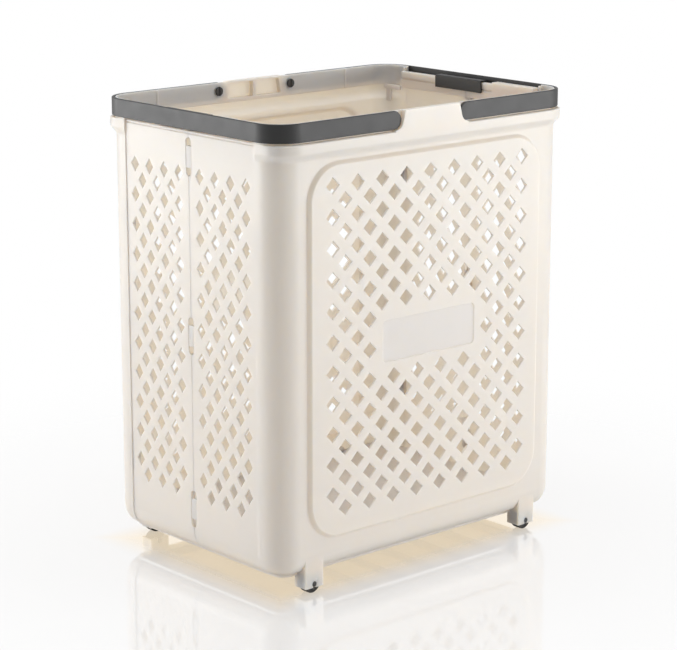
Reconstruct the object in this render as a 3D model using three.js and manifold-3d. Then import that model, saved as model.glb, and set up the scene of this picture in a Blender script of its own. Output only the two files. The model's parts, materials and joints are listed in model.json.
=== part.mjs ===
// Folding laundry basket on four small wheels, in millimetres, +Z up.
// The origin is on the floor under the middle of the basket; +X is its right side and +Y its back.
// Two U-shaped shells and four side leaves make the walls. Offsets named d run outwards from a wall plane.
import * as THREE from "three";
import { mergeGeometries, mergeVertices } from "three/addons/utils/BufferGeometryUtils.js";
import Module from "manifold-3d";

const wasm = await Module();
wasm.setup();

// Walls: the wall planes, the rounded corners and the tuck where the walls curve in to the bottom lip
const bodyWidth = 455;
const bodyDepth = 315;
const wall = 2.6;
const cornerRadius = 32;
const lipBottom = 21.5;
const lipHeight = 4;
const tuck = 16;
const tuckTop = 50;
const seamInset = 38.5;
const seamGap = 0.6;

// Rim and the collar under the handles. A drop is a distance below the rim's top, and an inset one from the
// wall plane inwards.
const rimTop = 549;
const rimThickness = 2.4;
const rimProud = 0.8;
const ledgeDrop = 23.4;
const collarProud = 8;
const collarStartDrop = 44.5;
const collarFullDrop = 33.5;
const collarSeamShare = 0.15;
const collarFadeDegrees = 50;
const rimRibInset = 76.5;
const rimRibWidth = 2.6;
const rimRibDepth = 1.2;

// Raised panel, blank label pocket and the pierced lattice
const panelInset = 44.5;
const panelBottom = 63.7;
const panelDrop = 49.8;
const panelRadius = 43;
const panelProud = 4.5;
const panelSlope = 2.6;
const labelWidth = 145;
const labelHeight = 49;
const labelRise = 1.25;
const labelRadius = 6;
const labelDepth = 1;
const labelCornerSteps = 2;
const latticeDrop = 74.5;
const latticePitchZ = 36;
const latticeFoot = 30;
const holeHeight = 19.4;
const shellHoleWidth = 20;
const shellPitch = 37.55;
const shellHoleMargin = 22;
const leafHoleWidth = 14.6;
const leafPitch = 27.76;
const leafHoleMargin = 16.5;

// Side leaves: face, shelf, lock rail and the block that ends a gap before the lock sleeve
const leafInset = 1;
const leafFaceDrop = 27.4;
const shadowHeight = 1.5;
const shadowDepth = 1.3;
const shelfDrop = 24;
const shelfThickness = 3;
const shelfSetback = 1.2;
const railOuter = 6.5;
const railWidth = 6;
const railDrop = 5.8;
const railGrooveDrop = 10.2;
const railGrooveHeight = 2;
const railGrooveDepth = 1.8;
const blockGap = 19;

// Lock sleeves
const sleeveLength = 82;
const sleeveLead = 28.5;
const sleeveWall = 2.2;
const sleeveHeight = 13.2;

// Middle hinges between two leaves and seam hinges between leaf and shell
const midHingeLow = 74.8;
const midHingeDrop = 53.8;
const midKnuckleLength = 26;
const midPocketLength = 9.5;
const midKnuckleRadius = 4.2;
const midWindowClearance = 1.3;
const midBossLength = 4;
const midBossDepth = 3.6;
const midBossReach = 7;
const seamHingeLow = 120;
const seamHingeDrop = 139;
const seamKnuckleRadius = 3.4;
const seamHingeInset = 8.5;
const seamLeafKnuckle = 20;
const seamShellKnuckle = 10;
const hingePinRadius = 1.6;

// Hook-shaped stiffener inside each top corner of the shells
const hookInset = 10.5;
const hookThickness = 2.8;
const hookArmHeight = 6;
const hookPostHeight = 22;
const hookPostWidth = 7;
const hookSeamGap = 2;

// Handles and their snap pins
const bandDrop = 21.4;
const bandHeight = 21.4;
const bandClearance = 0.7;
const bandThickness = 3.5;
const bandChamfer = 0.7;
const pivotOffset = 57.5;
const handleMaxDegrees = 104;
const blockClearance = 0.8;
const blockProud = 7.4;
const pocketTopHalf = 39;
const pocketBottomHalf = 43;
const pocketTopDrop = 2.8;
const pocketBottomDrop = 21.4;
const pocketRib = 5;
const pinShankRadius = 3.1;
const pinHeadRadius = 5.6;
const pinHeadThickness = 2.2;
const pinSlotWidth = 1.8;
const pinSlotDepth = 1.2;
const pinSkin = 0.8;

// Base panel and its two hinges at the back shell
const baseTop = 41;
const basePlate = 3;
const baseOverlap = 2.1;
const baseSideReach = 1;
const baseEndReach = 10;
const baseCornerRadius = 22;
const baseRib = 2.4;
const baseHingeOffset = 120;
const baseHingeInset = 9.5;
const baseHingeRise = 1;
const baseKnuckleRadius = 3.5;
const baseKnuckleLength = 20;
const baseEarLength = 9.5;
const baseNotchClearance = 0.6;

// Feet, wheels and axles
const footInset = 53.2;
const footWidth = 27;
const footDepth = 20;
const footBottom = 7;
const forkWall = 4;
const wheelRadius = 11.5;
const wheelWidth = 11;
const wheelChamfer = 1;
const wellClearance = 0.6;
const axleRadius = 3;
const axleThroat = 4.8;
const axleInset = 0.5;

// Running and assembly clearance, how deep a joined piece reaches into its wall, the overrun of a cut and
// the distance under which corners of a mesh are one
const fit = 0.3;
const bury = 1;
const overrun = 1;
const weld = 0.0001;

// Counts that set how fine the round shapes are
const cornerSteps = 5;
const tuckSteps = 3;
const collarSteps = 3;
const hingeSides = 8;
const roundSides = 12;
const wheelSides = 18;
const bandEndSides = 20;
const baseRibCount = 7;

const halfWidth = bodyWidth / 2;
const halfDepth = bodyDepth / 2;
const lipTop = lipBottom + lipHeight;
const seamY = halfDepth - seamInset;
const rimInner = rimProud - rimThickness;
const ledgeTop = rimTop - ledgeDrop;
const collarStart = rimTop - collarStartDrop;
const collarFull = rimTop - collarFullDrop;
const rimRibOffset = halfWidth - rimRibInset;
const panelHalfWidth = halfWidth - panelInset;
const panelTop = rimTop - panelDrop;
const labelCentre = (panelBottom + panelTop) / 2 + labelRise;
const latticeTop = rimTop - latticeDrop;
const leafFaceTop = rimTop - leafFaceDrop;
const shelfTop = rimTop - shelfDrop;
const railTop = rimTop - railDrop;
const railGrooveBottom = railTop - railGrooveDrop;
const blockEnd = -sleeveLead - blockGap;
const sleeveBottom = railTop - sleeveHeight;
const bandBottom = rimTop - bandDrop;
const bandTop = bandBottom + bandHeight;
const pivotZ = bandBottom + bandHeight / 2;
const pocketTop = rimTop - pocketTopDrop;
const pocketBottom = rimTop - pocketBottomDrop;
const footOffset = halfWidth - footInset;

// Materials
const plastic = (color, roughness) => new THREE.MeshStandardMaterial({ color, roughness, metalness: 0 });
const ivory = plastic(0xeee6dc, 0.45);
const cream = plastic(0xece2d2, 0.5);
const charcoal = plastic(0x626262, 0.5);
const black = plastic(0x1e1c1b, 0.55);
const tyreBlack = plastic(0x262524, 0.7);

// Turns a geometry into a solid, with its shared corners merged.
function toSolid(geometry) {
  const bare = new THREE.BufferGeometry();
  const plain = geometry.index ? geometry.toNonIndexed() : geometry;
  bare.setAttribute("position", plain.getAttribute("position"));
  const merged = mergeVertices(bare, weld);
  const vertProperties = merged.getAttribute("position").array;
  const corners = [];
  for (let i = 0; i < merged.index.count; i += 3) {
    const [a, b, c] = merged.index.array.subarray(i, i + 3);
    if (a !== b && b !== c && c !== a) corners.push(a, b, c);
  }
  const triVerts = new Uint32Array(corners);
  return new wasm.Manifold(new wasm.Mesh({ numProp: 3, vertProperties, triVerts }));
}

function toGeometry(solid) {
  const mesh = solid.getMesh();
  const geometry = new THREE.BufferGeometry();
  geometry.setAttribute("position", new THREE.BufferAttribute(mesh.vertProperties, 3));
  geometry.setIndex(new THREE.BufferAttribute(mesh.triVerts, 1));
  const faceted = geometry.toNonIndexed();
  faceted.computeVertexNormals();
  return faceted;
}

const join = (first, ...others) => others.reduce((sum, other) => sum.add(other), first);
const cut = (first, ...others) => others.reduce((rest, other) => rest.subtract(other), first);

// Triangles of a flat outline, wound in the outline's own order
function capFaces(contour) {
  const faces = THREE.ShapeUtils.triangulateShape(contour, []);
  return THREE.ShapeUtils.isClockWise(contour) ? faces.map(([a, b, c]) => [a, c, b]) : faces;
}

// A closed solid through rings of points that all have the same count; contours are the flat end outlines.
function loft(rings, startContour, endContour) {
  const count = rings[0].length;
  const faces = [];
  for (let i = 0; i + 1 < rings.length; i += 1) {
    for (let j = 0; j < count; j += 1) {
      const next = (j + 1) % count;
      const low = i * count;
      const high = low + count;
      faces.push([low + j, low + next, high + next], [low + j, high + next, high + j]);
    }
  }
  const last = (rings.length - 1) * count;
  for (const [a, b, c] of capFaces(startContour)) faces.push([a, c, b]);
  for (const [a, b, c] of capFaces(endContour)) faces.push([last + a, last + b, last + c]);
  const points = rings.flat();
  let volume = 0;
  for (const [a, b, c] of faces) {
    volume += points[a].dot(new THREE.Vector3().crossVectors(points[b], points[c]));
  }
  const order = volume > 0 ? faces : faces.map(([a, b, c]) => [a, c, b]);
  const geometry = new THREE.BufferGeometry().setFromPoints(points);
  geometry.setIndex(order.flat());
  return toSolid(geometry);
}

const flat = (pairs) => pairs.map(([u, v]) => new THREE.Vector2(u, v));

// Prisms of an outline given in the two other axes
function prismGeometry(outline, depth) {
  return new THREE.ExtrudeGeometry(new THREE.Shape(flat(outline)), { depth, bevelEnabled: false });
}

function prismAlongX(outline, from, to) {
  const turn = new THREE.Matrix4().makeBasis(
    new THREE.Vector3(0, 1, 0),
    new THREE.Vector3(0, 0, 1),
    new THREE.Vector3(1, 0, 0),
  );
  return prismGeometry(outline, to - from).applyMatrix4(turn).translate(from, 0, 0);
}

function prismAlongY(outline, from, to) {
  return prismGeometry(outline, to - from).rotateX(Math.PI / 2).translate(0, to, 0);
}

function prismAlongZ(outline, from, to) {
  return prismGeometry(outline, to - from).translate(0, 0, from);
}

function box(x0, x1, y0, y1, z0, z1) {
  const geometry = new THREE.BoxGeometry(x1 - x0, y1 - y0, z1 - z0);
  return toSolid(geometry.translate((x0 + x1) / 2, (y0 + y1) / 2, (z0 + z1) / 2));
}

function rodAlongX(radius, from, to, y, z, sides = hingeSides) {
  const geometry = new THREE.CylinderGeometry(radius, radius, to - from, sides).rotateZ(Math.PI / 2);
  return toSolid(geometry.translate((from + to) / 2, y, z));
}

function rodAlongY(radius, from, to, x, z, sides = roundSides) {
  const geometry = new THREE.CylinderGeometry(radius, radius, to - from, sides);
  return toSolid(geometry.translate(x, (from + to) / 2, z));
}

function rodAlongZ(radius, from, to, x, y, sides = hingeSides) {
  const geometry = new THREE.CylinderGeometry(radius, radius, to - from, sides).rotateX(Math.PI / 2);
  return toSolid(geometry.translate(x, y, (from + to) / 2));
}

// A solid turned about an axis along Y; profile pairs are radius and distance along the axis
function turnedAlongY(profile, x, y, z, sides = roundSides) {
  return toSolid(new THREE.LatheGeometry(flat(profile), sides).translate(x, y, z));
}

// Outline of a rectangle with round corners, counter-clockwise
function roundedRectangle(u0, u1, v0, v1, radius, steps = cornerSteps) {
  const outline = [];
  const corners = [
    [u1 - radius, v0 + radius, -90],
    [u1 - radius, v1 - radius, 0],
    [u0 + radius, v1 - radius, 90],
    [u0 + radius, v0 + radius, 180],
  ];
  for (const [cu, cv, start] of corners) {
    for (let i = 0; i <= steps; i += 1) {
      const angle = THREE.MathUtils.degToRad(start + (90 * i) / steps);
      outline.push([cu + radius * Math.cos(angle), cv + radius * Math.sin(angle)]);
    }
  }
  return outline;
}

const diamond = (u, v, width, height) => [
  [u + width / 2, v],
  [u, v + height / 2],
  [u - width / 2, v],
  [u, v - height / 2],
];

// Quarter ellipse of the tuck, from the lip up to the wall plane at offset top
function tuckCurve(lipOffset, top, lipLevel) {
  const points = [];
  for (let i = 0; i <= tuckSteps; i += 1) {
    const angle = (Math.PI / 2) * (i / tuckSteps);
    const offset = lipOffset + (top - lipOffset) * Math.sin(angle);
    points.push([offset, tuckTop - (tuckTop - lipLevel) * Math.cos(angle)]);
  }
  return points;
}

// S-shaped run of the collar, from the wall plane at offset start out to offset end
function collarCurve(start, end) {
  const points = [];
  for (let i = 0; i <= collarSteps; i += 1) {
    const share = i / collarSteps;
    const offset = start + ((end - start) * (1 - Math.cos(Math.PI * share))) / 2;
    points.push([offset, collarStart + (collarFull - collarStart) * share]);
  }
  return points;
}

// Wall section of a shell as offset and height; share says how far the collar stands out there
function shellSection(share) {
  const proud = collarProud * share;
  const inside = [...tuckCurve(-tuck - wall, -wall, lipTop + wall), ...collarCurve(-wall, proud - wall)];
  return [
    [-tuck, lipBottom],
    ...tuckCurve(-tuck, 0, lipTop),
    ...collarCurve(0, proud),
    [proud, ledgeTop],
    [rimProud, ledgeTop],
    [rimProud, rimTop],
    [rimInner, rimTop],
    [rimInner, ledgeTop - wall],
    [proud - wall, ledgeTop - wall],
    ...inside.reverse(),
    [-tuck - wall, lipBottom],
  ];
}

// The front shell's plan path from its left seam round both corners to its right seam
function shellPath() {
  const stations = [];
  const seam = -seamY - seamGap / 2;
  const centreX = halfWidth - cornerRadius;
  const centreY = -halfDepth + cornerRadius;
  const station = (x, y, angle, share) =>
    stations.push({ x, y, nx: Math.cos(angle), ny: Math.sin(angle), share });
  station(-halfWidth, seam, Math.PI, collarSeamShare);
  for (const side of [-1, 1]) {
    for (let i = 0; i <= cornerSteps; i += 1) {
      const turned = side < 0 ? i / cornerSteps : 1 - i / cornerSteps;
      const fade = THREE.MathUtils.smoothstep(90 * turned, 0, collarFadeDegrees);
      const angle = side < 0 ? Math.PI + (Math.PI / 2) * turned : 2 * Math.PI - (Math.PI / 2) * turned;
      const x = side * centreX + cornerRadius * Math.cos(angle);
      const y = centreY + cornerRadius * Math.sin(angle);
      station(x, y, angle, collarSeamShare + (1 - collarSeamShare) * fade);
    }
  }
  station(halfWidth, seam, 0, collarSeamShare);
  return stations;
}

// Heights of the lattice rows; every second row is set half a pitch sideways
function latticeRows() {
  const rows = [];
  const step = latticePitchZ / 2;
  for (let z = latticeTop; z >= panelBottom + latticeFoot; z -= step) {
    rows.push({ z, odd: rows.length % 2 === 1 });
  }
  return rows;
}

function shellHoles() {
  const holes = [];
  const reach = panelHalfWidth - shellHoleMargin;
  const clearX = (labelWidth + shellHoleWidth) / 2;
  const clearZ = (labelHeight + holeHeight) / 2;
  for (const { z, odd } of latticeRows()) {
    const shift = odd ? shellPitch / 2 : 0;
    const columns = Math.floor((reach - shift) / shellPitch);
    for (let i = -columns - (odd ? 1 : 0); i <= columns; i += 1) {
      const x = i * shellPitch + shift;
      if (Math.abs(x) < clearX && Math.abs(z - labelCentre) < clearZ) continue;
      const outline = diamond(x, z, shellHoleWidth, holeHeight);
      holes.push(prismAlongY(outline, -halfDepth - panelProud - overrun, -halfDepth + wall + overrun));
    }
  }
  return toSolid(mergeGeometries(holes));
}

// Outline of the block between the handle ends, cut back so that both handles clear it when raised
function rimBlockOutline() {
  const radius = bandHeight / 2 + blockClearance;
  const lean = THREE.MathUtils.degToRad(handleMaxDegrees - 90);
  const tangentX = pivotOffset - radius * Math.cos(lean);
  const tangentZ = pivotZ - radius * Math.sin(lean);
  const right = [
    [tangentX - (rimTop - tangentZ) * Math.tan(lean), rimTop],
    [tangentX, tangentZ],
  ];
  for (let i = 1; i <= cornerSteps; i += 1) {
    const angle = lean + (Math.PI / 2 - lean) * (i / cornerSteps);
    right.push([pivotOffset - radius * Math.cos(angle), pivotZ - radius * Math.sin(angle)]);
  }
  right.push([pivotOffset, ledgeTop - wall / 2]);
  const left = right.map(([x, z]) => [-x, z]).reverse();
  return [...left, ...right];
}

// Pocket behind that block, open to the inside, with a middle rib left standing
function rimPocket() {
  const outline = [
    [-pocketBottomHalf, pocketBottom],
    [pocketBottomHalf, pocketBottom],
    [pocketTopHalf, pocketTop],
    [-pocketTopHalf, pocketTop],
  ];
  const back = -halfDepth - blockProud + wall;
  const inside = -halfDepth - rimInner;
  const hollow = toSolid(prismAlongY(outline, back, inside + overrun));
  const half = pocketRib / 2;
  return cut(hollow, box(-half, half, back - overrun, inside, pocketBottom - overrun, rimTop));
}

// A frustum between two rounded rectangles, from one depth offset to another
function panelBlock(innerOffset, innerGrow, outerOffset, outerGrow) {
  const ring = (offset, grow) => {
    const half = panelHalfWidth + grow;
    const outline = roundedRectangle(-half, half, panelBottom - grow, panelTop + grow, panelRadius + grow);
    return outline.map(([x, z]) => new THREE.Vector3(x, -halfDepth - offset, z));
  };
  const rings = [ring(innerOffset, innerGrow), ring(outerOffset, outerGrow)];
  const contour = (points) => points.map((p) => new THREE.Vector2(p.x, p.z));
  return loft(rings, contour(rings[0]), contour(rings[1]));
}

// Foot outline as offset and height: flush with the wall in front, closed by the tuck above
function footOutline() {
  const middle = tuckCurve(-tuck - wall / 2, -wall / 2, lipTop + wall / 2).reverse();
  return [[-wall / 2, footBottom], ...middle, [-footDepth, lipTop + wall / 2], [-footDepth, footBottom]];
}

function foot(x) {
  const outline = footOutline().map(([d, z]) => [-halfDepth - d, z]);
  const from = x - footWidth / 2;
  const to = x + footWidth / 2;
  const inner = toSolid(prismAlongX(outline, from, to));
  return join(inner, box(from, to, -halfDepth, -halfDepth + wall, footBottom, tuckTop));
}

function footCuts(x) {
  const well = wheelRadius + wellClearance;
  const front = -halfDepth + forkWall;
  const back = -halfDepth + footDepth - forkWall;
  const low = footBottom - overrun;
  const outside = -halfDepth - overrun;
  const inside = -halfDepth + footDepth + overrun;
  return [
    box(x - well, x + well, front, back, low, wheelRadius + well),
    rodAlongY(axleRadius + fit, outside, inside, x, wheelRadius),
    box(x - axleThroat / 2, x + axleThroat / 2, outside, inside, low, wheelRadius),
  ];
}

// A box between two corners given in any order
function boxBetween(xa, xb, ya, yb, za, zb) {
  const low = [Math.min(xa, xb), Math.min(ya, yb), Math.min(za, zb)];
  const high = [Math.max(xa, xb), Math.max(ya, yb), Math.max(za, zb)];
  return box(low[0], high[0], low[1], high[1], low[2], high[2]);
}

// Barrel of a seam hinge with the web that ties it to the wall; away is the wall's side of the seam along Y
function seamKnuckle(x, y, away, z0, z1, wallInner) {
  const barrel = rodAlongZ(seamKnuckleRadius, z0, z1, x, y);
  const plane = Math.sign(x) * (halfWidth - wallInner + bury);
  return join(barrel, boxBetween(x, plane, y + (away * seamGap) / 2, y + away * seamKnuckleRadius, z0, z1));
}

const seamHingeLevels = [seamHingeLow, rimTop - seamHingeDrop];
const midHingeHigh = rimTop - midHingeDrop;
const midHingeLevels = [midHingeLow, (midHingeLow + midHingeHigh) / 2, midHingeHigh];
const seamHingeX = halfWidth - seamHingeInset;

function shellSeamKnuckles(x) {
  const knuckles = [];
  for (const level of seamHingeLevels) {
    const inner = seamLeafKnuckle / 2;
    const outer = inner + seamShellKnuckle;
    knuckles.push(seamKnuckle(x, -seamY, -1, level - outer, level - inner, wall));
    knuckles.push(seamKnuckle(x, -seamY, -1, level + inner, level + outer, wall));
  }
  return knuckles;
}

function seamPinHoles(x, y) {
  const reach = seamLeafKnuckle / 2 + seamShellKnuckle + overrun;
  return seamHingeLevels.map((z) => rodAlongZ(hingePinRadius + fit, z - reach, z + reach, x, y));
}

// How far in front of a corner's centre line a round wall stands, at a distance run beside that centre
const roundReach = (radius, run) => Math.sqrt(radius * radius - run * run);

// Hook-shaped stiffener: an arm under the rim and a post down the corner
function cornerHook(side) {
  const x0 = side * (halfWidth - hookInset);
  const x1 = x0 - side * hookThickness;
  const top = ledgeTop - wall / 2;
  const centreY = -halfDepth + cornerRadius;
  const run = cornerRadius - hookInset;
  const postY = centreY - roundReach(cornerRadius - wall, run);
  const armY = centreY - roundReach(cornerRadius + rimInner, run - hookThickness) - wall / 2;
  const arm = boxBetween(x0, x1, armY, -seamY - hookSeamGap, top - hookArmHeight, top);
  return join(arm, boxBetween(x0, x1, postY - wall / 2, postY + hookPostWidth, top - hookPostHeight, top));
}

const baseHingeY = halfDepth - baseHingeInset;
const baseHingeZ = baseTop + baseHingeRise;

// Ears of the base hinges, on the inside of the tuck; built on the front shell's side and turned with it
function baseEars() {
  const ears = [];
  for (const centre of [-baseHingeOffset, baseHingeOffset]) {
    for (const side of [-1, 1]) {
      const near = centre + side * (baseKnuckleLength / 2 + fit);
      const far = near + side * baseEarLength;
      const from = Math.min(near, far);
      const to = Math.max(near, far);
      const low = baseHingeZ - baseKnuckleRadius;
      const high = baseHingeZ + baseKnuckleRadius;
      ears.push(rodAlongX(baseKnuckleRadius, from, to, -baseHingeY, baseHingeZ));
      ears.push(box(from, to, -halfDepth + wall / 2, -baseHingeY, low, high));
    }
  }
  return ears;
}

const baseHingeReach = baseKnuckleLength / 2 + fit + baseEarLength;

function baseHingeHoles(y) {
  const reach = baseHingeReach + overrun;
  return [-baseHingeOffset, baseHingeOffset].map((x) =>
    rodAlongX(hingePinRadius + fit, x - reach, x + reach, y, baseHingeZ),
  );
}

// Upright rib on the inside of the rim
function rimRib(side) {
  const x = side * rimRibOffset;
  const face = -halfDepth - rimInner;
  const half = rimRibWidth / 2;
  return box(x - half, x + half, face - rimThickness / 2, face + rimRibDepth, ledgeTop - wall, rimTop);
}

// A shell in the front position, with or without the ears that carry the base panel
function makeShell(withEars) {
  const path = shellPath();
  const rings = path.map(({ x, y, nx, ny, share }) =>
    shellSection(share).map(([d, z]) => new THREE.Vector3(x + nx * d, y + ny * d, z)),
  );
  const contour = flat(shellSection(collarSeamShare));
  let shell = loft(rings, contour, contour);
  shell = join(shell, panelBlock(-wall / 2, panelSlope / 2, panelProud, -panelSlope / 2));
  const recessGrow = panelSlope / 2 - wall;
  shell = cut(shell, panelBlock(-wall - overrun, recessGrow, panelProud - wall, recessGrow - panelSlope));
  const rimFace = -halfDepth - rimInner;
  shell = join(shell, toSolid(prismAlongY(rimBlockOutline(), -halfDepth - blockProud, rimFace)));
  shell = cut(shell, rimPocket());
  const labelOutline = roundedRectangle(
    -labelWidth / 2,
    labelWidth / 2,
    labelCentre - labelHeight / 2,
    labelCentre + labelHeight / 2,
    labelRadius,
    labelCornerSteps,
  );
  const face = -halfDepth - panelProud;
  shell = cut(shell, toSolid(prismAlongY(labelOutline, face - overrun, face + labelDepth)));
  shell = cut(shell, shellHoles());
  for (const side of [-1, 1]) {
    shell = join(shell, rimRib(side), cornerHook(side), foot(side * footOffset));
    shell = cut(shell, ...footCuts(side * footOffset));
    shell = join(shell, ...shellSeamKnuckles(side * seamHingeX));
    shell = cut(shell, ...seamPinHoles(side * seamHingeX, -seamY));
    const outside = -halfDepth - rimProud - overrun;
    const pivotX = side * pivotOffset;
    shell = cut(shell, rodAlongY(pinShankRadius + fit, outside, rimFace + overrun, pivotX, pivotZ));
  }
  if (withEars) shell = cut(join(shell, ...baseEars()), ...baseHingeHoles(-baseHingeY));
  return toGeometry(shell);
}

// Section of a right-hand leaf as X and height: face, tuck, shadow line and shelf
function leafOutline() {
  const inner = -leafInset - wall;
  const shelfBottom = shelfTop - shelfThickness;
  const shadowTop = leafFaceTop + shadowHeight;
  const shelfInner = -railOuter - railWidth;
  const outline = [
    [-tuck, lipBottom],
    ...tuckCurve(-tuck, -leafInset, lipTop),
    [-leafInset, leafFaceTop],
    [-leafInset - shadowDepth, leafFaceTop],
    [-leafInset - shadowDepth, shadowTop],
    [-shelfSetback, shadowTop],
    [-shelfSetback, shelfTop],
    [shelfInner, shelfTop],
    [shelfInner, shelfBottom],
    [inner, shelfBottom],
    ...tuckCurve(-tuck - wall, inner, lipTop + wall).reverse(),
    [-tuck - wall, lipBottom],
  ];
  return outline.map(([d, z]) => [halfWidth + d, z]);
}

function leafHoles(side) {
  const holes = [];
  for (const { z, odd } of latticeRows()) {
    const start = leafHoleMargin + (odd ? leafPitch / 2 : 0);
    for (let run = start; run <= seamY - leafHoleMargin; run += leafPitch) {
      const outline = diamond(side * (seamY - run), z, leafHoleWidth, holeHeight);
      holes.push(prismAlongX(outline, halfWidth - leafInset - wall - overrun, halfWidth + overrun));
    }
  }
  return toSolid(mergeGeometries(holes));
}

// Rail that the lock sleeve slides on, with the groove for the sleeve's bead
function railOutline() {
  const outer = halfWidth - railOuter;
  const inner = outer - railWidth;
  const root = shelfTop - shelfThickness / 2;
  const grooveTop = railGrooveBottom + railGrooveHeight;
  return [
    [outer, root],
    [outer, railTop],
    [inner, railTop],
    [inner, grooveTop],
    [inner + railGrooveDepth, grooveTop],
    [inner + railGrooveDepth, railGrooveBottom],
    [inner, railGrooveBottom],
    [inner, root],
  ];
}

const midHingeX = halfWidth - leafInset - midKnuckleRadius - fit;
const midSetReach = midKnuckleLength / 2 + midPocketLength;
const midPinReach = midSetReach + midBossLength;

// Middle hinge on one leaf: the front leaf carries the knuckle, the back one a boss for each end of the pin
function addMidHinges(leaf, side) {
  let result = leaf;
  const inner = halfWidth - leafInset - wall;
  const clear = midKnuckleRadius + midWindowClearance;
  for (const level of midHingeLevels) {
    const low = level - midSetReach;
    const high = level + midSetReach;
    result = cut(result, box(inner - overrun, halfWidth + overrun, -clear, clear, low, high));
    if (side < 0) {
      const z0 = level - midKnuckleLength / 2;
      const z1 = level + midKnuckleLength / 2;
      const barrel = rodAlongZ(midKnuckleRadius, z0, z1, midHingeX, 0);
      const web = box(midHingeX - midKnuckleRadius / 2, inner + wall / 2, -clear - bury, 0, z0, z1);
      result = join(result, barrel, web);
    } else {
      const back = midHingeX - midBossDepth;
      for (const [near, far] of [[low, low - midBossLength], [high, high + midBossLength]]) {
        const hook = boxBetween(back, inner - fit, -midKnuckleRadius, midBossReach, near, far);
        const root = boxBetween(back, inner + wall / 2, seamGap / 2, midBossReach, near, far);
        result = join(result, hook, root);
      }
    }
    const reach = midPinReach + fit;
    result = cut(result, rodAlongZ(hingePinRadius + fit, level - reach, level + reach, midHingeX, 0));
  }
  return result;
}

const sleeveInnerX = halfWidth - railOuter - railWidth - fit - sleeveWall;
const sleeveOuterX = halfWidth - railOuter + fit + sleeveWall;
const sleeveTop = railTop + fit + sleeveWall;

// A right-hand leaf; side is -1 for the front one, which has the block, and 1 for the back one. The rail of
// the front leaf starts at the block's end.
function makeLeaf(side) {
  const seam = side * (seamY - seamGap / 2);
  const middle = (side * seamGap) / 2;
  const from = Math.min(seam, middle);
  const to = Math.max(seam, middle);
  let leaf = cut(toSolid(prismAlongY(leafOutline(), from, to)), leafHoles(side));
  leaf = join(leaf, toSolid(prismAlongY(railOutline(), side < 0 ? blockEnd : from, to)));
  if (side < 0) {
    const root = shelfTop - shelfThickness / 2;
    leaf = join(leaf, box(sleeveInnerX, sleeveOuterX, from, blockEnd, root, sleeveTop));
  }
  leaf = addMidHinges(leaf, side);
  const knuckle = seamLeafKnuckle / 2 - fit;
  const wallInner = leafInset + wall;
  for (const level of seamHingeLevels) {
    const low = level - knuckle;
    leaf = join(leaf, seamKnuckle(seamHingeX, side * seamY, -side, low, level + knuckle, wallInner));
  }
  leaf = cut(leaf, ...seamPinHoles(seamHingeX, side * seamY));
  return toGeometry(leaf);
}

// The same piece for the left side, with its faces turned right side out again
function mirrored(geometry) {
  const copy = geometry.clone().scale(-1, 1, 1);
  const positions = copy.getAttribute("position");
  for (let i = 0; i < positions.count; i += 3) {
    const first = new THREE.Vector3().fromBufferAttribute(positions, i);
    const second = new THREE.Vector3().fromBufferAttribute(positions, i + 1);
    positions.setXYZ(i, second.x, second.y, second.z);
    positions.setXYZ(i + 1, first.x, first.y, first.z);
  }
  copy.computeVertexNormals();
  return copy;
}

// Right-hand lock sleeve: a channel over both rails, with a bead that runs in the rail's groove
function makeSleeve() {
  const from = -sleeveLead;
  const to = sleeveLength - sleeveLead;
  const bead = railGrooveDepth - fit;
  const beadBottom = railGrooveBottom + fit;
  const beadTop = railGrooveBottom + railGrooveHeight - fit;
  const outline = [
    [sleeveInnerX, sleeveBottom],
    [sleeveInnerX + sleeveWall, sleeveBottom],
    [sleeveInnerX + sleeveWall, beadBottom],
    [sleeveInnerX + sleeveWall + fit + bead, beadBottom],
    [sleeveInnerX + sleeveWall + fit + bead, beadTop],
    [sleeveInnerX + sleeveWall, beadTop],
    [sleeveInnerX + sleeveWall, railTop + fit],
    [sleeveOuterX - sleeveWall, railTop + fit],
    [sleeveOuterX - sleeveWall, sleeveBottom],
    [sleeveOuterX, sleeveBottom],
    [sleeveOuterX, sleeveTop],
    [sleeveInnerX, sleeveTop],
  ];
  return toGeometry(toSolid(prismAlongY(outline, from, to)));
}

const bandInner = rimProud + bandClearance;
const bandOuter = bandInner + bandThickness;

// Section of the handle band as offset and height, with its outer edges eased
function bandSection() {
  return [
    [bandInner, bandBottom],
    [bandOuter - bandChamfer, bandBottom],
    [bandOuter, bandBottom + bandChamfer],
    [bandOuter, bandTop - bandChamfer],
    [bandOuter - bandChamfer, bandTop],
    [bandInner, bandTop],
  ];
}

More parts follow.
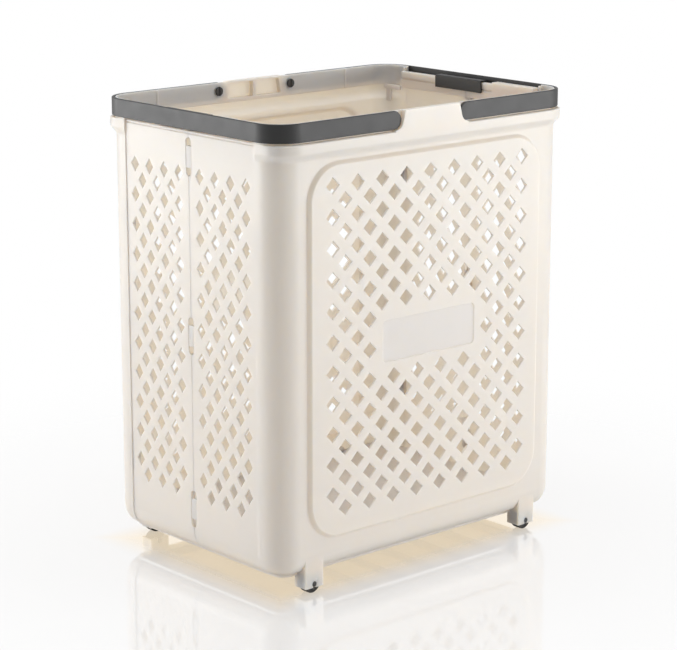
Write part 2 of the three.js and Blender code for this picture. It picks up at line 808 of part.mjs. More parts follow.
// Right-hand handle: a band round the rim from one pivot to the other, with full-round ends
function makeHandle() {
  const stations = [];
  const station = (x, y, angle) => stations.push({ x, y, nx: Math.cos(angle), ny: Math.sin(angle) });
  station(pivotOffset, -halfDepth, -Math.PI / 2);
  for (const side of [-1, 1]) {
    for (let i = 0; i <= cornerSteps; i += 1) {
      const turned = (Math.PI / 2) * (i / cornerSteps);
      const angle = side < 0 ? turned - Math.PI / 2 : turned;
      const x = halfWidth - cornerRadius + cornerRadius * Math.cos(angle);
      station(x, side * (halfDepth - cornerRadius) + cornerRadius * Math.sin(angle), angle);
    }
  }
  station(pivotOffset, halfDepth, Math.PI / 2);
  const section = bandSection();
  const rings = stations.map(({ x, y, nx, ny }) =>
    section.map(([d, z]) => new THREE.Vector3(x + nx * d, y + ny * d, z)),
  );
  let handle = loft(rings, flat(section), flat(section));
  const round = bandHeight / 2;
  const eased = round - bandChamfer;
  const backEnd = [
    [0, bandInner],
    [round, bandInner],
    [round, bandOuter - bandChamfer],
    [eased, bandOuter],
    [0, bandOuter],
  ];
  const frontEnd = backEnd.map(([r, d]) => [r, -d]).reverse();
  handle = join(handle, turnedAlongY(frontEnd, pivotOffset, -halfDepth, pivotZ, bandEndSides));
  handle = join(handle, turnedAlongY(backEnd, pivotOffset, halfDepth, pivotZ, bandEndSides));
  const hole = pinShankRadius + fit;
  const near = halfDepth + bandInner - overrun;
  const far = halfDepth + bandOuter - pinSkin;
  handle = cut(handle, rodAlongY(hole, -far, -near, pivotOffset, pivotZ));
  return toGeometry(cut(handle, rodAlongY(hole, near, far, pivotOffset, pivotZ)));
}

// Snap pin at the front of the right-hand handle: a slotted head inside the rim and a shank into the handle
function makeSnapPin() {
  const headFront = -rimInner + fit;
  const headBack = headFront + pinHeadThickness;
  const tip = -(bandOuter - pinSkin - fit);
  const profile = [
    [0, tip],
    [pinShankRadius, tip],
    [pinShankRadius, headFront],
    [pinHeadRadius, headFront],
    [pinHeadRadius, headBack],
    [0, headBack],
  ];
  const pin = turnedAlongY(profile, 0, 0, 0);
  const half = pinSlotWidth / 2;
  const reach = pinHeadRadius + overrun;
  const slot = box(-half, half, headBack - pinSlotDepth, headBack + overrun, -reach, reach);
  return toGeometry(cut(pin, slot)).translate(pivotOffset, -halfDepth, pivotZ);
}

// Base panel: a plate with a skirt and ribs that rests on the lips, and a knuckle at each of its two hinges
function makeBasePanel() {
  const skirtX = halfWidth - tuck - wall + baseOverlap;
  const skirtY = halfDepth - tuck - wall + baseOverlap;
  const skirtRadius = cornerRadius - tuck - wall + baseOverlap;
  const plateX = skirtX + baseSideReach;
  const plateY = skirtY + baseEndReach;
  const underside = baseTop - basePlate;
  const [lip, next] = tuckCurve(-tuck - wall, -wall, lipTop + wall);
  const seat = lip[1] + ((next[1] - lip[1]) * baseOverlap) / (next[0] - lip[0]);
  const skirtBottom = seat + fit;
  const rectangle = (x, y, radius) => roundedRectangle(-x, x, -y, y, radius);
  let panel = toSolid(prismAlongZ(rectangle(plateX, plateY, baseCornerRadius), underside, baseTop));
  const middle = baseTop - basePlate / 2;
  const skirt = toSolid(prismAlongZ(rectangle(skirtX, skirtY, skirtRadius), skirtBottom, middle));
  const hollow = rectangle(skirtX - baseRib, skirtY - baseRib, skirtRadius - baseRib);
  panel = join(panel, cut(skirt, toSolid(prismAlongZ(hollow, skirtBottom - overrun, underside))));
  for (let i = 1; i <= baseRibCount; i += 1) {
    const x = skirtX * ((2 * i) / (baseRibCount + 1) - 1);
    const reach = skirtY - baseRib / 2;
    panel = join(panel, box(x - baseRib / 2, x + baseRib / 2, -reach, reach, skirtBottom, middle));
  }
  const notch = baseHingeReach + baseNotchClearance;
  const notchFront = baseHingeY - baseKnuckleRadius - baseNotchClearance;
  const half = baseKnuckleLength / 2;
  const low = underside - overrun;
  for (const x of [-baseHingeOffset, baseHingeOffset]) {
    panel = cut(panel, box(x - notch, x + notch, notchFront, halfDepth, low, baseTop + overrun));
    panel = join(panel, rodAlongX(baseKnuckleRadius, x - half, x + half, baseHingeY, baseHingeZ));
    panel = join(panel, box(x - half, x + half, notchFront - bury, baseHingeY, underside, baseTop));
  }
  return toGeometry(cut(panel, ...baseHingeHoles(baseHingeY)));
}

// Wheel with eased edges; its axis runs along Y
function makeWheel() {
  const half = wheelWidth / 2;
  const bore = axleRadius + fit;
  const profile = [
    [bore, -half],
    [wheelRadius - wheelChamfer, -half],
    [wheelRadius, -half + wheelChamfer],
    [wheelRadius, half - wheelChamfer],
    [wheelRadius - wheelChamfer, half],
    [bore, half],
    [bore, -half],
  ];
  return toGeometry(turnedAlongY(profile, 0, 0, 0, wheelSides));
}

const makePin = (radius, length, sides = hingeSides) =>
  toGeometry(rodAlongZ(radius, -length / 2, length / 2, 0, 0, sides));

// The assembly
const basket = new THREE.Group();

function place(name, geometry, material, x = 0, y = 0, z = 0) {
  const mesh = new THREE.Mesh(geometry, material);
  mesh.name = name;
  mesh.position.set(x, y, z);
  basket.add(mesh);
  return mesh;
}

place("front_shell", makeShell(false), ivory);
place("back_shell", makeShell(true), ivory).rotation.z = Math.PI;
place("base_panel", makeBasePanel(), ivory);

const frontLeaf = makeLeaf(-1);
const backLeaf = makeLeaf(1);
place("right_front_leaf", frontLeaf, ivory);
place("right_back_leaf", backLeaf, ivory);
place("left_front_leaf", mirrored(frontLeaf), ivory);
place("left_back_leaf", mirrored(backLeaf), ivory);

const sleeve = makeSleeve();
place("right_lock_sleeve", sleeve, black);
place("left_lock_sleeve", mirrored(sleeve), black);

const handle = makeHandle();
place("right_handle", handle, charcoal);
place("left_handle", handle, charcoal).rotation.z = Math.PI;

const snapPin = makeSnapPin();
place("right_handle_front_pin", snapPin, black);
place("left_handle_front_pin", snapPin, black, -2 * pivotOffset);
place("left_handle_back_pin", snapPin, black).rotation.z = Math.PI;
place("right_handle_back_pin", snapPin, black, 2 * pivotOffset).rotation.z = Math.PI;

const foldPin = makePin(hingePinRadius, 2 * midPinReach - 2 * fit);
const seamPin = makePin(hingePinRadius, seamLeafKnuckle + 2 * seamShellKnuckle - 2 * fit);
const basePin = makePin(hingePinRadius, 2 * baseHingeReach - 2 * fit);
const axle = makePin(axleRadius, footDepth - 2 * axleInset, roundSides);
const wheel = makeWheel();
const wheelY = halfDepth - footDepth / 2;
const heightNames = ["lower", "middle", "upper"];
const seamHeightNames = ["lower", "upper"];

for (const side of [-1, 1]) {
  const sideName = side < 0 ? "left" : "right";
  midHingeLevels.forEach((z, i) => {
    place(`${sideName}_fold_pin_${heightNames[i]}`, foldPin, ivory, side * midHingeX, 0, z);
  });
  const basePinMesh = place(`base_hinge_pin_${sideName}`, basePin, ivory);
  basePinMesh.position.set(side * baseHingeOffset, baseHingeY, baseHingeZ);
  basePinMesh.rotation.y = Math.PI / 2;
  for (const end of [-1, 1]) {
    const corner = `${end < 0 ? "front" : "back"}_${sideName}`;
    seamHingeLevels.forEach((z, i) => {
      place(`${corner}_seam_pin_${seamHeightNames[i]}`, seamPin, ivory, side * seamHingeX, end * seamY, z);
    });
    const wheelX = side * footOffset;
    place(`${corner}_axle`, axle, cream, wheelX, end * wheelY, wheelRadius).rotation.x = Math.PI / 2;
    place(`${corner}_wheel`, wheel, tyreBlack, wheelX, end * wheelY, wheelRadius);
  }
}

export default basket;
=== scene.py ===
"""Folding laundry basket: the finish of its mouldings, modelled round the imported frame.

Lengths are in metres, +Z is up, the front panel faces -Y and the origin is on the floor under the middle.
Offsets named d run outwards from a wall plane, so a negative one is inside the wall.
"""

import json
import math

import bmesh
import bpy
from bpy.props import FloatProperty, FloatVectorProperty, PointerProperty
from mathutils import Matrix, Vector

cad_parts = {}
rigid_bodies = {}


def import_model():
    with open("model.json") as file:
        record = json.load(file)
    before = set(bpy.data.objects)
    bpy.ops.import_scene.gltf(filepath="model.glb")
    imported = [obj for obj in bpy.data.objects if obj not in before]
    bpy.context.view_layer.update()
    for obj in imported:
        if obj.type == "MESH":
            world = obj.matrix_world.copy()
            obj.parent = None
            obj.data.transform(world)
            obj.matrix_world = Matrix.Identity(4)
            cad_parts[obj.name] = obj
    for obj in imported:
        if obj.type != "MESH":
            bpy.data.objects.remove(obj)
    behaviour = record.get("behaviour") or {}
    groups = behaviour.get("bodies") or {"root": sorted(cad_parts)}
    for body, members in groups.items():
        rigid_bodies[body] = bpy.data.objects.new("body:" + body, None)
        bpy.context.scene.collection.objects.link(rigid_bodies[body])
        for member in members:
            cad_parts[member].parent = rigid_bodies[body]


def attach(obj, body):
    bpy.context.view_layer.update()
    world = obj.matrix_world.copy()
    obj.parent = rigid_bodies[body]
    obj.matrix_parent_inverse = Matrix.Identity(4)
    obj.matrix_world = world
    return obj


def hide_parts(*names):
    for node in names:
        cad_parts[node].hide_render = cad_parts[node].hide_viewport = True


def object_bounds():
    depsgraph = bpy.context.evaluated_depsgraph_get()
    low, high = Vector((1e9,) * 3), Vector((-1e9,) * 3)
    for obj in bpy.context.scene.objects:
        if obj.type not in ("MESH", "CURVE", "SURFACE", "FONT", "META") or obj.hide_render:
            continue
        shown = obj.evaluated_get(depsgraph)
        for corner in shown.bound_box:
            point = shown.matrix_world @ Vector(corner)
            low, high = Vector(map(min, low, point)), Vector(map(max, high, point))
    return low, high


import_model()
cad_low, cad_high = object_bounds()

bl_info = {
    "name": "Folding Laundry Basket",
    "version": (1, 0, 0),
    "blender": (4, 5, 0),
    "location": "View3D > Sidebar > Basket",
    "description": "Models the mouldings of a folding laundry basket round its frame and sets up a studio",
    "category": "Object",
}

QUARTER = math.pi / 2
WHITE = (1, 1, 1, 1)

# Steps of the round outlines, the corners, the tuck, the collar and the small fillets
ROUND = 8
CORNER = 12
TUCK = 8
COLLAR = 8
FILLET = 3

# Sides of rods, and of the finer rods and bores, and steps round the turned pieces
ROD_SIDES = 24
FINE_SIDES = 32
PIN_STEPS = 40
WHEEL_STEPS = 48
AXLE_STEPS = 32

# Running clearance between two pieces, the overrun of a cut and half the gap at a seam
FIT = 0.0003
OVERRUN = 0.001
SEAM_HALF = 0.0003

# How much of the collar is left at the seams, how far the rim's block roots in the wall,
# how round the ends of a hinge's window are and how round the ends of its knuckle
LEAST_SHARE = 0.15
BLOCK_ROOT_SHARE = 0.9
WINDOW_ROUND_SHARE = 0.95
KNUCKLE_EASE_SHARE = 0.6

# Shares of a wheel's radius at its hub, its dish and its rim
HUB_SHARE = 0.45
DISH_SHARE = 0.5
RIM_SHARE = 0.8

# Ribs under the base panel
BASE_RIBS = 7

# Lengths closer than SAME count as the same, and corners closer than DOUBLED are merged
SAME = 1e-5
DOUBLED = 2e-6

# Side of the square that becomes an outline's first corner, and how much of a side a round corner takes
SEED = 0.001
REACH_SHARE = 0.45

# The flat of a leaf: least area of such a face, and least share of its normal along X
LARGE_FACE = 0.001
UPRIGHT_SHARE = 0.999


def length(name, description, default):
    """A size of the object."""
    return FloatProperty(name=name, description=description, default=default, unit="LENGTH", precision=5)


def angle(name, description, degrees):
    """An angle, given in degrees."""
    radians = math.radians(degrees)
    return FloatProperty(name=name, description=description, default=radians, subtype="ANGLE")


def amount(name, description, default):
    """A share, a strength or another plain number."""
    return FloatProperty(name=name, description=description, default=default)


def colour(name, description, red, green, blue):
    """A colour, given as it shows on a screen with 1 as full, and kept as light."""
    light = [((v + 0.055) / 1.055) ** 2.4 for v in (red, green, blue)]
    return FloatVectorProperty(
        name=name, description=description, default=light, subtype="COLOR", size=3, min=0, max=1
    )


class WallSizes(bpy.types.PropertyGroup):
    """Sizes of the two shells and of what the walls of shells and leaves share."""

    width: length("Width", "Across the side walls", 0.455)
    depth: length("Depth", "Across the front and back walls", 0.315)
    wall: length("Wall", "Thickness of the walls", 0.0026)
    corner_radius: length("Corner radius", "Radius of the upright corners", 0.032)
    lip_bottom: length("Lip bottom", "Height of the lower edge", 0.0215)
    lip_height: length("Lip height", "Height of the straight lip at the lower edge", 0.004)
    tuck: length("Tuck", "How far the walls curve in at the bottom", 0.016)
    tuck_top: length("Tuck top", "Height where the walls start to curve in", 0.05)
    seam_inset: length("Seam inset", "From the front or back wall to the seam of the leaf", 0.0385)
    seam_gap: length("Seam gap", "Gap between two mouldings at a seam", 2 * SEAM_HALF)
    rim_top: length("Rim top", "Height of the rim", cad_high.z)
    rim_thickness: length("Rim thickness", "Thickness of the rim", 0.0024)
    rim_proud: length("Rim proud", "How far the rim's outside stands out from the wall", 0.0008)
    ledge_drop: length("Ledge drop", "From the rim's top down to the ledge of the collar", 0.0234)
    collar_proud: length("Collar proud", "How far the collar stands out from the wall", 0.008)
    collar_start_drop: length("Collar start drop", "From the rim's top down to the collar's foot", 0.0445)
    collar_full_drop: length("Collar full drop", "From the rim's top down to the full collar", 0.0335)
    collar_fade: angle("Collar fade", "Turn of the corner over which the collar rises", 50)
    seam_ease: length("Seam ease", "Radius of the edges at the seams", 0.0008)
    edge_radius: length("Edge radius", "Radius of the moulded edges", 0.0009)
    ledge_radius: length("Ledge radius", "Radius of the collar's upper edge", 0.0016)


class PanelSizes(bpy.types.PropertyGroup):
    """Sizes of the raised panel, its label pocket and the pierced lattice."""

    inset: length("Panel inset", "From the side wall plane to the panel's edge", 0.0445)
    bottom: length("Panel bottom", "Height of the panel's lower edge", 0.0637)
    drop: length("Panel drop", "From the rim's top down to the panel's upper edge", 0.0498)
    radius: length("Panel radius", "Radius of the panel's corners", 0.043)
    proud: length("Panel proud", "How far the panel stands out", 0.0045)
    slope: length("Panel slope", "Width of the sloping step round the panel", 0.0034)
    foot: length("Step foot", "Width of the soft foot and crown of the step", 0.0022)
    label_width: length("Label width", "Width of the blank label pocket", 0.145)
    label_height: length("Label height", "Height of the blank label pocket", 0.049)
    label_centre: length("Label centre", "Height of the label pocket's centre", 0.2827)
    label_radius: length("Label radius", "Corner radius of the label pocket", 0.006)
    label_depth: length("Label depth", "Depth of the label pocket", 0.001)
    lattice_drop: length("Lattice drop", "From the rim's top down to the first row of holes", 0.0745)
    lattice_pitch: length("Lattice pitch", "Distance of every second row", 0.036)
    lattice_foot: length("Lattice foot", "From the panel's lower edge up to the last row at least", 0.03)
    hole_height: length("Hole height", "Height of a hole", 0.0194)
    shell_hole_width: length("Shell hole width", "Width of a hole in the front and back walls", 0.02)
    shell_pitch: length("Shell pitch", "Distance of the holes in a row of the front wall", 0.03755)
    shell_margin: length("Shell margin", "Least room from the panel's edge to a hole's centre", 0.022)
    leaf_hole_width: length("Leaf hole width", "Width of a hole in the side leaves", 0.0146)
    leaf_pitch: length("Leaf pitch", "Distance of the holes in a row of a leaf", 0.02776)
    leaf_margin: length("Leaf margin", "From a leaf's edge to the nearest hole's centre", 0.0165)
    hole_edge: length("Hole edge", "Width of the eased edge round each hole", 0.0004)


class RimSizes(bpy.types.PropertyGroup):
    """Sizes of what the rim carries on the inside and between the handle ends."""

    rib_inset: length("Rib inset", "From the side wall plane to the rib in the rim", 0.0765)
    rib_width: length("Rib width", "Width of that rib", 0.0026)
    rib_depth: length("Rib depth", "How far that rib stands in from the rim", 0.0012)
    rib_ease: length("Rib ease", "Radius of that rib's edges", 0.0003)
    block_clearance: length("Block clearance", "Gap between the handle's round end and the block", 0.0008)
    pocket_top_half: length("Pocket top half", "Half the width of the pocket at its top", 0.039)
    pocket_bottom_half: length("Pocket bottom half", "Half the width of the pocket at its bottom", 0.043)
    pocket_top_drop: length("Pocket top drop", "From the rim's top down to the pocket", 0.0028)
    pocket_bottom_drop: length("Pocket bottom drop", "From the rim's top to the pocket's floor", 0.0214)
    pocket_rib: length("Pocket rib", "Width of the rib in the middle of the pocket", 0.005)
    pocket_radius: length("Pocket radius", "Radius of the pocket's corners", 0.0012)
    flange_width: length("Flange width", "Width of the flange at the rim's seam end", 0.0062)
    flange_thickness: length("Flange thickness", "Thickness of that flange", 0.0024)
    flange_drop: length("Flange drop", "From the rim's top down to that flange", 0.0012)
    flange_ease: length("Flange ease", "Radius of that flange's edges", 0.0004)
    hook_inset: length("Hook inset", "From the side wall plane to the corner hook", 0.0105)
    hook_thickness: length("Hook thickness", "Thickness of the corner hook", 0.0028)
    hook_arm: length("Hook arm", "Height of the hook's arm", 0.006)
    hook_post_height: length("Hook post height", "Height of the hook's post", 0.022)
    hook_post_width: length("Hook post width", "Width of the hook's post", 0.007)
    hook_seam_gap: length("Hook seam gap", "From the seam to the end of the hook's arm", 0.002)
    hook_ease: length("Hook ease", "Radius of the hook's edges", 0.0005)


class LeafSizes(bpy.types.PropertyGroup):
    """Sizes of the side leaves, their hinges and the lock sleeves."""

    inset: length("Leaf inset", "From the wall plane in to the leaf's face", 0.001)
    face_drop: length("Face drop", "From the rim's top down to the top of the leaf's face", 0.0274)
    shadow_height: length("Shadow height", "Height of the shadow line under the shelf", 0.0015)
    shadow_depth: length("Shadow depth", "Depth of that shadow line", 0.0013)
    shelf_drop: length("Shelf drop", "From the rim's top down to the shelf", 0.024)
    shelf_thickness: length("Shelf thickness", "Thickness of the shelf", 0.003)
    shelf_setback: length("Shelf setback", "From the wall plane in to the shelf's edge", 0.0012)
    rail_outer: length("Rail outer", "From the wall plane in to the lock rail", 0.0065)
    rail_width: length("Rail width", "Width of the lock rail", 0.006)
    rail_drop: length("Rail drop", "From the rim's top down to the rail's top", 0.0058)
    groove_drop: length("Groove drop", "From the rail's top down to the groove's floor", 0.0102)
    groove_height: length("Groove height", "Height of the rail's groove", 0.002)
    groove_depth: length("Groove depth", "Depth of the rail's groove", 0.0018)
    sleeve_length: length("Sleeve length", "Length of a lock sleeve", 0.082)
    sleeve_lead: length("Sleeve lead", "How far a sleeve reaches past the fold to the front", 0.0285)
    sleeve_wall: length("Sleeve wall", "Wall of a lock sleeve", 0.0022)
    sleeve_height: length("Sleeve height", "From the rail's top down to a sleeve's lower edge", 0.0132)
    sleeve_ease: length("Sleeve ease", "Width of the eased edges at a sleeve's ends", 0.0003)
    block_gap: length("Block gap", "Running room between sleeve and block", 0.019)
    block_ease: length("Block ease", "Radius of that block's edges", 0.0008)
    knuckle_radius: length("Knuckle radius", "Radius of a fold hinge's knuckle", 0.0042)
    knuckle_length: length("Knuckle length", "Length of a fold hinge's knuckle", 0.026)
    pocket_length: length("Pocket length", "Length of the pocket at each end of a knuckle", 0.0095)
    web_ease: length("Web ease", "Radius of the edges of a knuckle's web", 0.0003)
    cover_gap: length("Cover gap", "Gap beside the cover plate of a knuckle", 0.0007)
    cover_drop: length("Cover drop", "From a leaf's face in to that plate's face", 0.0001)
    cover_ease: length("Cover ease", "Radius of that plate's edges", 0.001)
    window_clearance: length("Window clearance", "Clearance round a knuckle", 0.0013)
    boss_length: length("Boss length", "Length of a boss of the fold hinge", 0.004)
    boss_depth: length("Boss depth", "Depth of a boss of the fold hinge", 0.0036)
    boss_reach: length("Boss reach", "Reach of a boss from the fold", 0.007)
    boss_ease: length("Boss ease", "Radius of a boss's edges", 0.0004)
    fold_low: length("Fold low", "Height of the lowest fold hinge", 0.0748)
    fold_drop: length("Fold drop", "From the rim's top down to the highest fold hinge", 0.0538)
    seam_low: length("Seam low", "Height of the lower seam hinge", 0.12)
    seam_drop: length("Seam drop", "From the rim's top down to the upper seam hinge", 0.139)
    seam_radius: length("Seam knuckle radius", "Radius of a seam hinge's knuckles", 0.0034)
    seam_hinge_inset: length("Seam hinge inset", "From the wall plane to a seam hinge's pin", 0.0085)
    seam_leaf_knuckle: length("Leaf knuckle", "Length of the leaf's knuckle at the seam", 0.02)
    seam_shell_knuckle: length("Shell knuckle", "Length of each of the shell's knuckles", 0.01)
    pin_radius: length("Pin radius", "Radius of the hinge pins", 0.0016)


class HandleSizes(bpy.types.PropertyGroup):
    """Sizes of the two bail handles and their snap pins."""

    band_drop: length("Band drop", "From the rim's top down to the band's lower edge", 0.0214)
    band_height: length("Band height", "Height of the band", 0.0214)
    band_clearance: length("Band clearance", "Gap between band and rim", 0.0007)
    band_thickness: length("Band thickness", "Thickness of the band", 0.0035)
    band_edge: length("Band edge", "Radius of the band's outer edges", 0.0009)
    pivot_offset: length("Pivot offset", "From the middle to a handle's pivot", 0.0575)
    travel: angle("Travel", "How far a handle swings up", 104)
    shank_radius: length("Shank radius", "Radius of a snap pin's shank", 0.0031)
    head_radius: length("Head radius", "Radius of a snap pin's head", 0.0056)
    head_thickness: length("Head thickness", "Thickness of a snap pin's head", 0.0022)
    head_seat_ease: length("Head seat ease", "Radius of that head's edge at the rim", 0.0003)
    head_ease: length("Head ease", "Radius of that head's edge inside the basket", 0.0007)
    slot_width: length("Slot width", "Width of the slot in a snap pin", 0.0018)
    slot_depth: length("Slot depth", "Depth of the slot in a snap pin", 0.0012)
    pin_skin: length("Pin skin", "What is left of the band in front of a pin's tip", 0.0008)


class BaseSizes(bpy.types.PropertyGroup):
    """Sizes of the base panel, the feet and the wheels."""

    top: length("Base top", "Height of the base panel", 0.041)
    plate: length("Base plate", "Thickness of the base panel", 0.003)
    overlap: length("Base overlap", "How far the panel reaches over the lips", 0.0021)
    side_reach: length("Side reach", "How far the plate stands past its skirt at the sides", 0.001)
    end_reach: length("End reach", "How far the plate stands past its skirt at the ends", 0.01)
    plate_radius: length("Plate radius", "Corner radius of the plate", 0.022)
    rib: length("Base rib", "Thickness of the ribs under the plate", 0.0024)
    hinge_offset: length("Base hinge offset", "From the middle to a base hinge", 0.12)
    hinge_inset: length("Base hinge inset", "From the back wall plane to a base hinge's pin", 0.0095)
    hinge_rise: length("Base hinge rise", "From the panel's top up to the hinge pin", 0.001)
    hinge_radius: length("Base knuckle radius", "Radius of a base hinge's knuckle", 0.0035)
    knuckle_length: length("Base knuckle length", "Length of a base hinge's knuckle", 0.02)
    ear_length: length("Ear length", "Length of each ear of a base hinge", 0.0095)
    notch_clearance: length("Notch clearance", "Clearance round the ears", 0.0006)
    foot_inset: length("Foot inset", "From the side wall plane to a foot's middle", 0.0532)
    foot_width: length("Foot width", "Width of a foot", 0.027)
    foot_depth: length("Foot depth", "Depth of a foot", 0.02)
    foot_bottom: length("Foot bottom", "Height of a foot's lower face", 0.007)
    foot_setback: length("Foot setback", "From the wall plane in to a foot's face", 0.0007)
    foot_top: length("Foot top", "Height of a foot's upper edge", 0.0455)
    fork_wall: length("Fork wall", "Wall in front of and behind the wheel", 0.004)
    wheel_radius: length("Wheel radius", "Radius of a wheel", 0.0115)
    wheel_width: length("Wheel width", "Width of a wheel", 0.011)
    wheel_ease: length("Wheel ease", "Radius of the edges of a wheel's hub and dish", 0.0002)
    wheel_rim_ease: length("Wheel rim ease", "Radius of the edge inside a wheel's tread", 0.0004)
    tread_ease: length("Tread ease", "Radius of the tread's edges", 0.0011)
    well_clearance: length("Well clearance", "Clearance round a wheel", 0.0006)
    axle_radius: length("Axle radius", "Radius of an axle", 0.003)
    axle_inset: length("Axle inset", "From a foot's face in to an axle's end", 0.0005)
    axle_throat: length("Axle throat", "Width of the slot below the axle's seat", 0.0048)


class BasketColours(bpy.types.PropertyGroup):
    """Colours of the mouldings."""

    ivory: colour("Ivory", "Shells, leaves and base", 0.938, 0.89, 0.848)
    ivory_deep: colour("Deep ivory", "Where the ivory plastic is thick or shaded", 0.918, 0.862, 0.806)
    charcoal: colour("Charcoal", "Handles", 0.195, 0.195, 0.195)
    sleeve_grey: colour("Sleeve grey", "Lock sleeves", 0.17, 0.17, 0.17)
    black: colour("Black", "Snap pins and axles", 0.17, 0.16, 0.16)
    tyre: colour("Tyre", "Wheels", 0.15, 0.147, 0.145)
    tyre_worn: colour("Worn tyre", "Where the wheels have run", 0.27, 0.265, 0.26)
    pin: colour("Pin", "Hinge pins", 0.93, 0.9, 0.85)


class StudioSettings(bpy.types.PropertyGroup):
    """Camera, lamps and floor."""

    lens: amount("Lens", "Focal length for a 36 mm wide picture", 124.2)
    shift_x: amount("Shift X", "Sideways shift of the picture", -0.01)
    shift_y: amount("Shift Y", "Upward shift of the picture", -0.0141)
    camera_x: length("Camera X", "Place of the camera", -1.8385)
    camera_y: length("Camera Y", "Place of the camera", -2.0812)
    camera_z: length("Camera height", "Height of the camera", 0.9369)
    azimuth: angle("Azimuth", "Turn of the camera from +Y", -41.646)
    elevation: angle("Elevation", "How far the camera looks down", 13.428)
    floor_size: length("Floor size", "Side of the floor", 40)
    fill: amount("Fill", "Strength of the light from all round", 0.41)
    key_power: amount("Key power", "Watts of the lamp at the front", 42)
    side_power: amount("Side power", "Watts of the lamp at the left", 45)
    top_power: amount("Top power", "Watts of the lamp overhead", 21)
    floor_white: amount("Floor white", "Share of white near the basket", 0.65)
    white_start: length("White start", "Distance at which the floor starts to turn white", 0.3)
    white_end: length("White end", "Distance from which the floor is all white", 0.85)
    # The warm glow under the basket is painted light: the floor is tinted and made to shine there, in place
    # of light through the plastic
    painted_glow_reach: length("Glow reach", "Softness of the edge of the warm glow under the basket", 0.03)
    painted_glow_share: amount("Glow share", "Strength of the warm glow", 0.8)
    painted_glow_white: amount("Glow white", "Share of its own light under the basket", 0.27)
    backdrop_start: amount("Backdrop start", "Sine of the height where it fades", 0.35)
    backdrop_end: amount("Backdrop end", "Sine of the height where it ends", 0.7)
    behind_start: amount("Behind start", "Cosine of the turn from straight behind where it ends", -0.1)
    behind_end: amount("Behind end", "Cosine of that turn where it is full", 0.35)
    gloss_start: length("Gloss start", "Distance at which the floor's mirror image starts to fade", 0.7)
    gloss_end: length("Gloss end", "Distance at which it is gone", 1.5)
    gloss_share: amount("Gloss share", "Share of the floor's mirror image", 0.3)
    gloss_roughness: amount("Gloss roughness", "Softness of that image", 0.06)
    softbox_x: length("Softbox X", "Place of the front lamp; the left one stands opposite", 1.92)
    softbox_y: length("Softbox Y", "Place of the front lamp; the left one stands opposite", -2.17)
    softbox_z: length("Softbox height", "Height of the middle of both lamps", 0.5)
    softbox_aim: length("Softbox aim", "Height of the point that both lamps face", 0.25)
    softbox_width: length("Softbox width", "Width of both lamps", 1.9)
    softbox_height: length("Softbox side", "Upright side of both lamps", 0.98)
    top_z: length("Top lamp height", "Height of the lamp overhead", 2.6)
    top_size: length("Top lamp size", "Side of the lamp overhead", 1.6)
    # Colour of the painted glow on the floor under the basket
    painted_glow_colour: colour("Glow colour", "Warm glow under the basket", 1.0, 0.92, 0.78)


class Plan:
    """Places that follow from the sizes, shared by the pieces."""

    def __init__(self, scene):
        walls, panel, rim = scene.basket_walls, scene.basket_panel, scene.basket_rim
        leaf, handle, base = scene.basket_leaf, scene.basket_handle, scene.basket_base
        self.half_width = walls.width / 2
        self.half_depth = walls.depth / 2
        self.corner_x = self.half_width - walls.corner_radius
        self.corner_y = self.half_depth - walls.corner_radius
        self.seam_y = self.half_depth - walls.seam_inset
        self.lip_top = walls.lip_bottom + walls.lip_height
        self.ledge = walls.rim_top - walls.ledge_drop
        self.block_bottom = self.ledge - BLOCK_ROOT_SHARE * walls.wall
        self.collar_start = walls.rim_top - walls.collar_start_drop
        self.collar_full = walls.rim_top - walls.collar_full_drop
        self.rim_inner = walls.rim_proud - walls.rim_thickness
        self.panel_half = self.half_width - panel.inset
        self.panel_top = walls.rim_top - panel.drop
        self.lattice_top = walls.rim_top - panel.lattice_drop
        self.rib_x = self.half_width - rim.rib_inset
        self.face_top = walls.rim_top - leaf.face_drop
        self.shelf = walls.rim_top - leaf.shelf_drop
        self.rail_top = walls.rim_top - leaf.rail_drop
        self.groove = self.rail_top - leaf.groove_drop
        self.block_end = -leaf.sleeve_lead - leaf.block_gap
        self.fold_high = walls.rim_top - leaf.fold_drop
        self.fold_levels = [leaf.fold_low, (leaf.fold_low + self.fold_high) / 2, self.fold_high]
        self.seam_levels = [leaf.seam_low, walls.rim_top - leaf.seam_drop]
        self.seam_hinge_x = self.half_width - leaf.seam_hinge_inset
        self.band_inner = walls.rim_proud + handle.band_clearance
        self.band_outer = self.band_inner + handle.band_thickness
        self.band_bottom = walls.rim_top - handle.band_drop
        self.pivot_z = self.band_bottom + handle.band_height / 2
        self.foot_x = self.half_width - base.foot_inset
        self.wheel_y = self.half_depth - base.foot_depth / 2
        self.half_wall = walls.wall / 2
        self.base_hinge_y = self.half_depth - base.hinge_inset
        self.base_hinge_z = base.top + base.hinge_rise
        self.fold_x = self.half_width - leaf.inset - leaf.knuckle_radius - FIT
        self.fold_reach = leaf.knuckle_length / 2 + leaf.pocket_length
        self.fold_pin_reach = self.fold_reach + leaf.boss_length
        self.sleeve_inner_x = self.half_width - leaf.rail_outer - leaf.rail_width - FIT - leaf.sleeve_wall
        self.sleeve_outer_x = self.half_width - leaf.rail_outer + FIT + leaf.sleeve_wall
        self.sleeve_top = self.rail_top + FIT + leaf.sleeve_wall


def clear():
    """Leaves edit mode and deselects every object, the frame's nodes among them."""
    if bpy.context.mode != "OBJECT":
        bpy.ops.object.mode_set(mode="OBJECT")
    bpy.ops.object.select_all(action="DESELECT")


def activate(piece):
    """Selects one piece alone and makes it the active one."""
    clear()
    piece.select_set(True)
    bpy.context.view_layer.objects.active = piece


def begin(name):
    """Starts a piece: an empty mesh in edit mode, for primitives to be added to."""
    clear()
    bpy.ops.mesh.primitive_plane_add(enter_editmode=True)
    bpy.ops.mesh.select_mode(type="VERT")
    bpy.ops.mesh.delete(type="VERT")
    piece = bpy.context.object
    piece.name = piece.data.name = name
    return piece


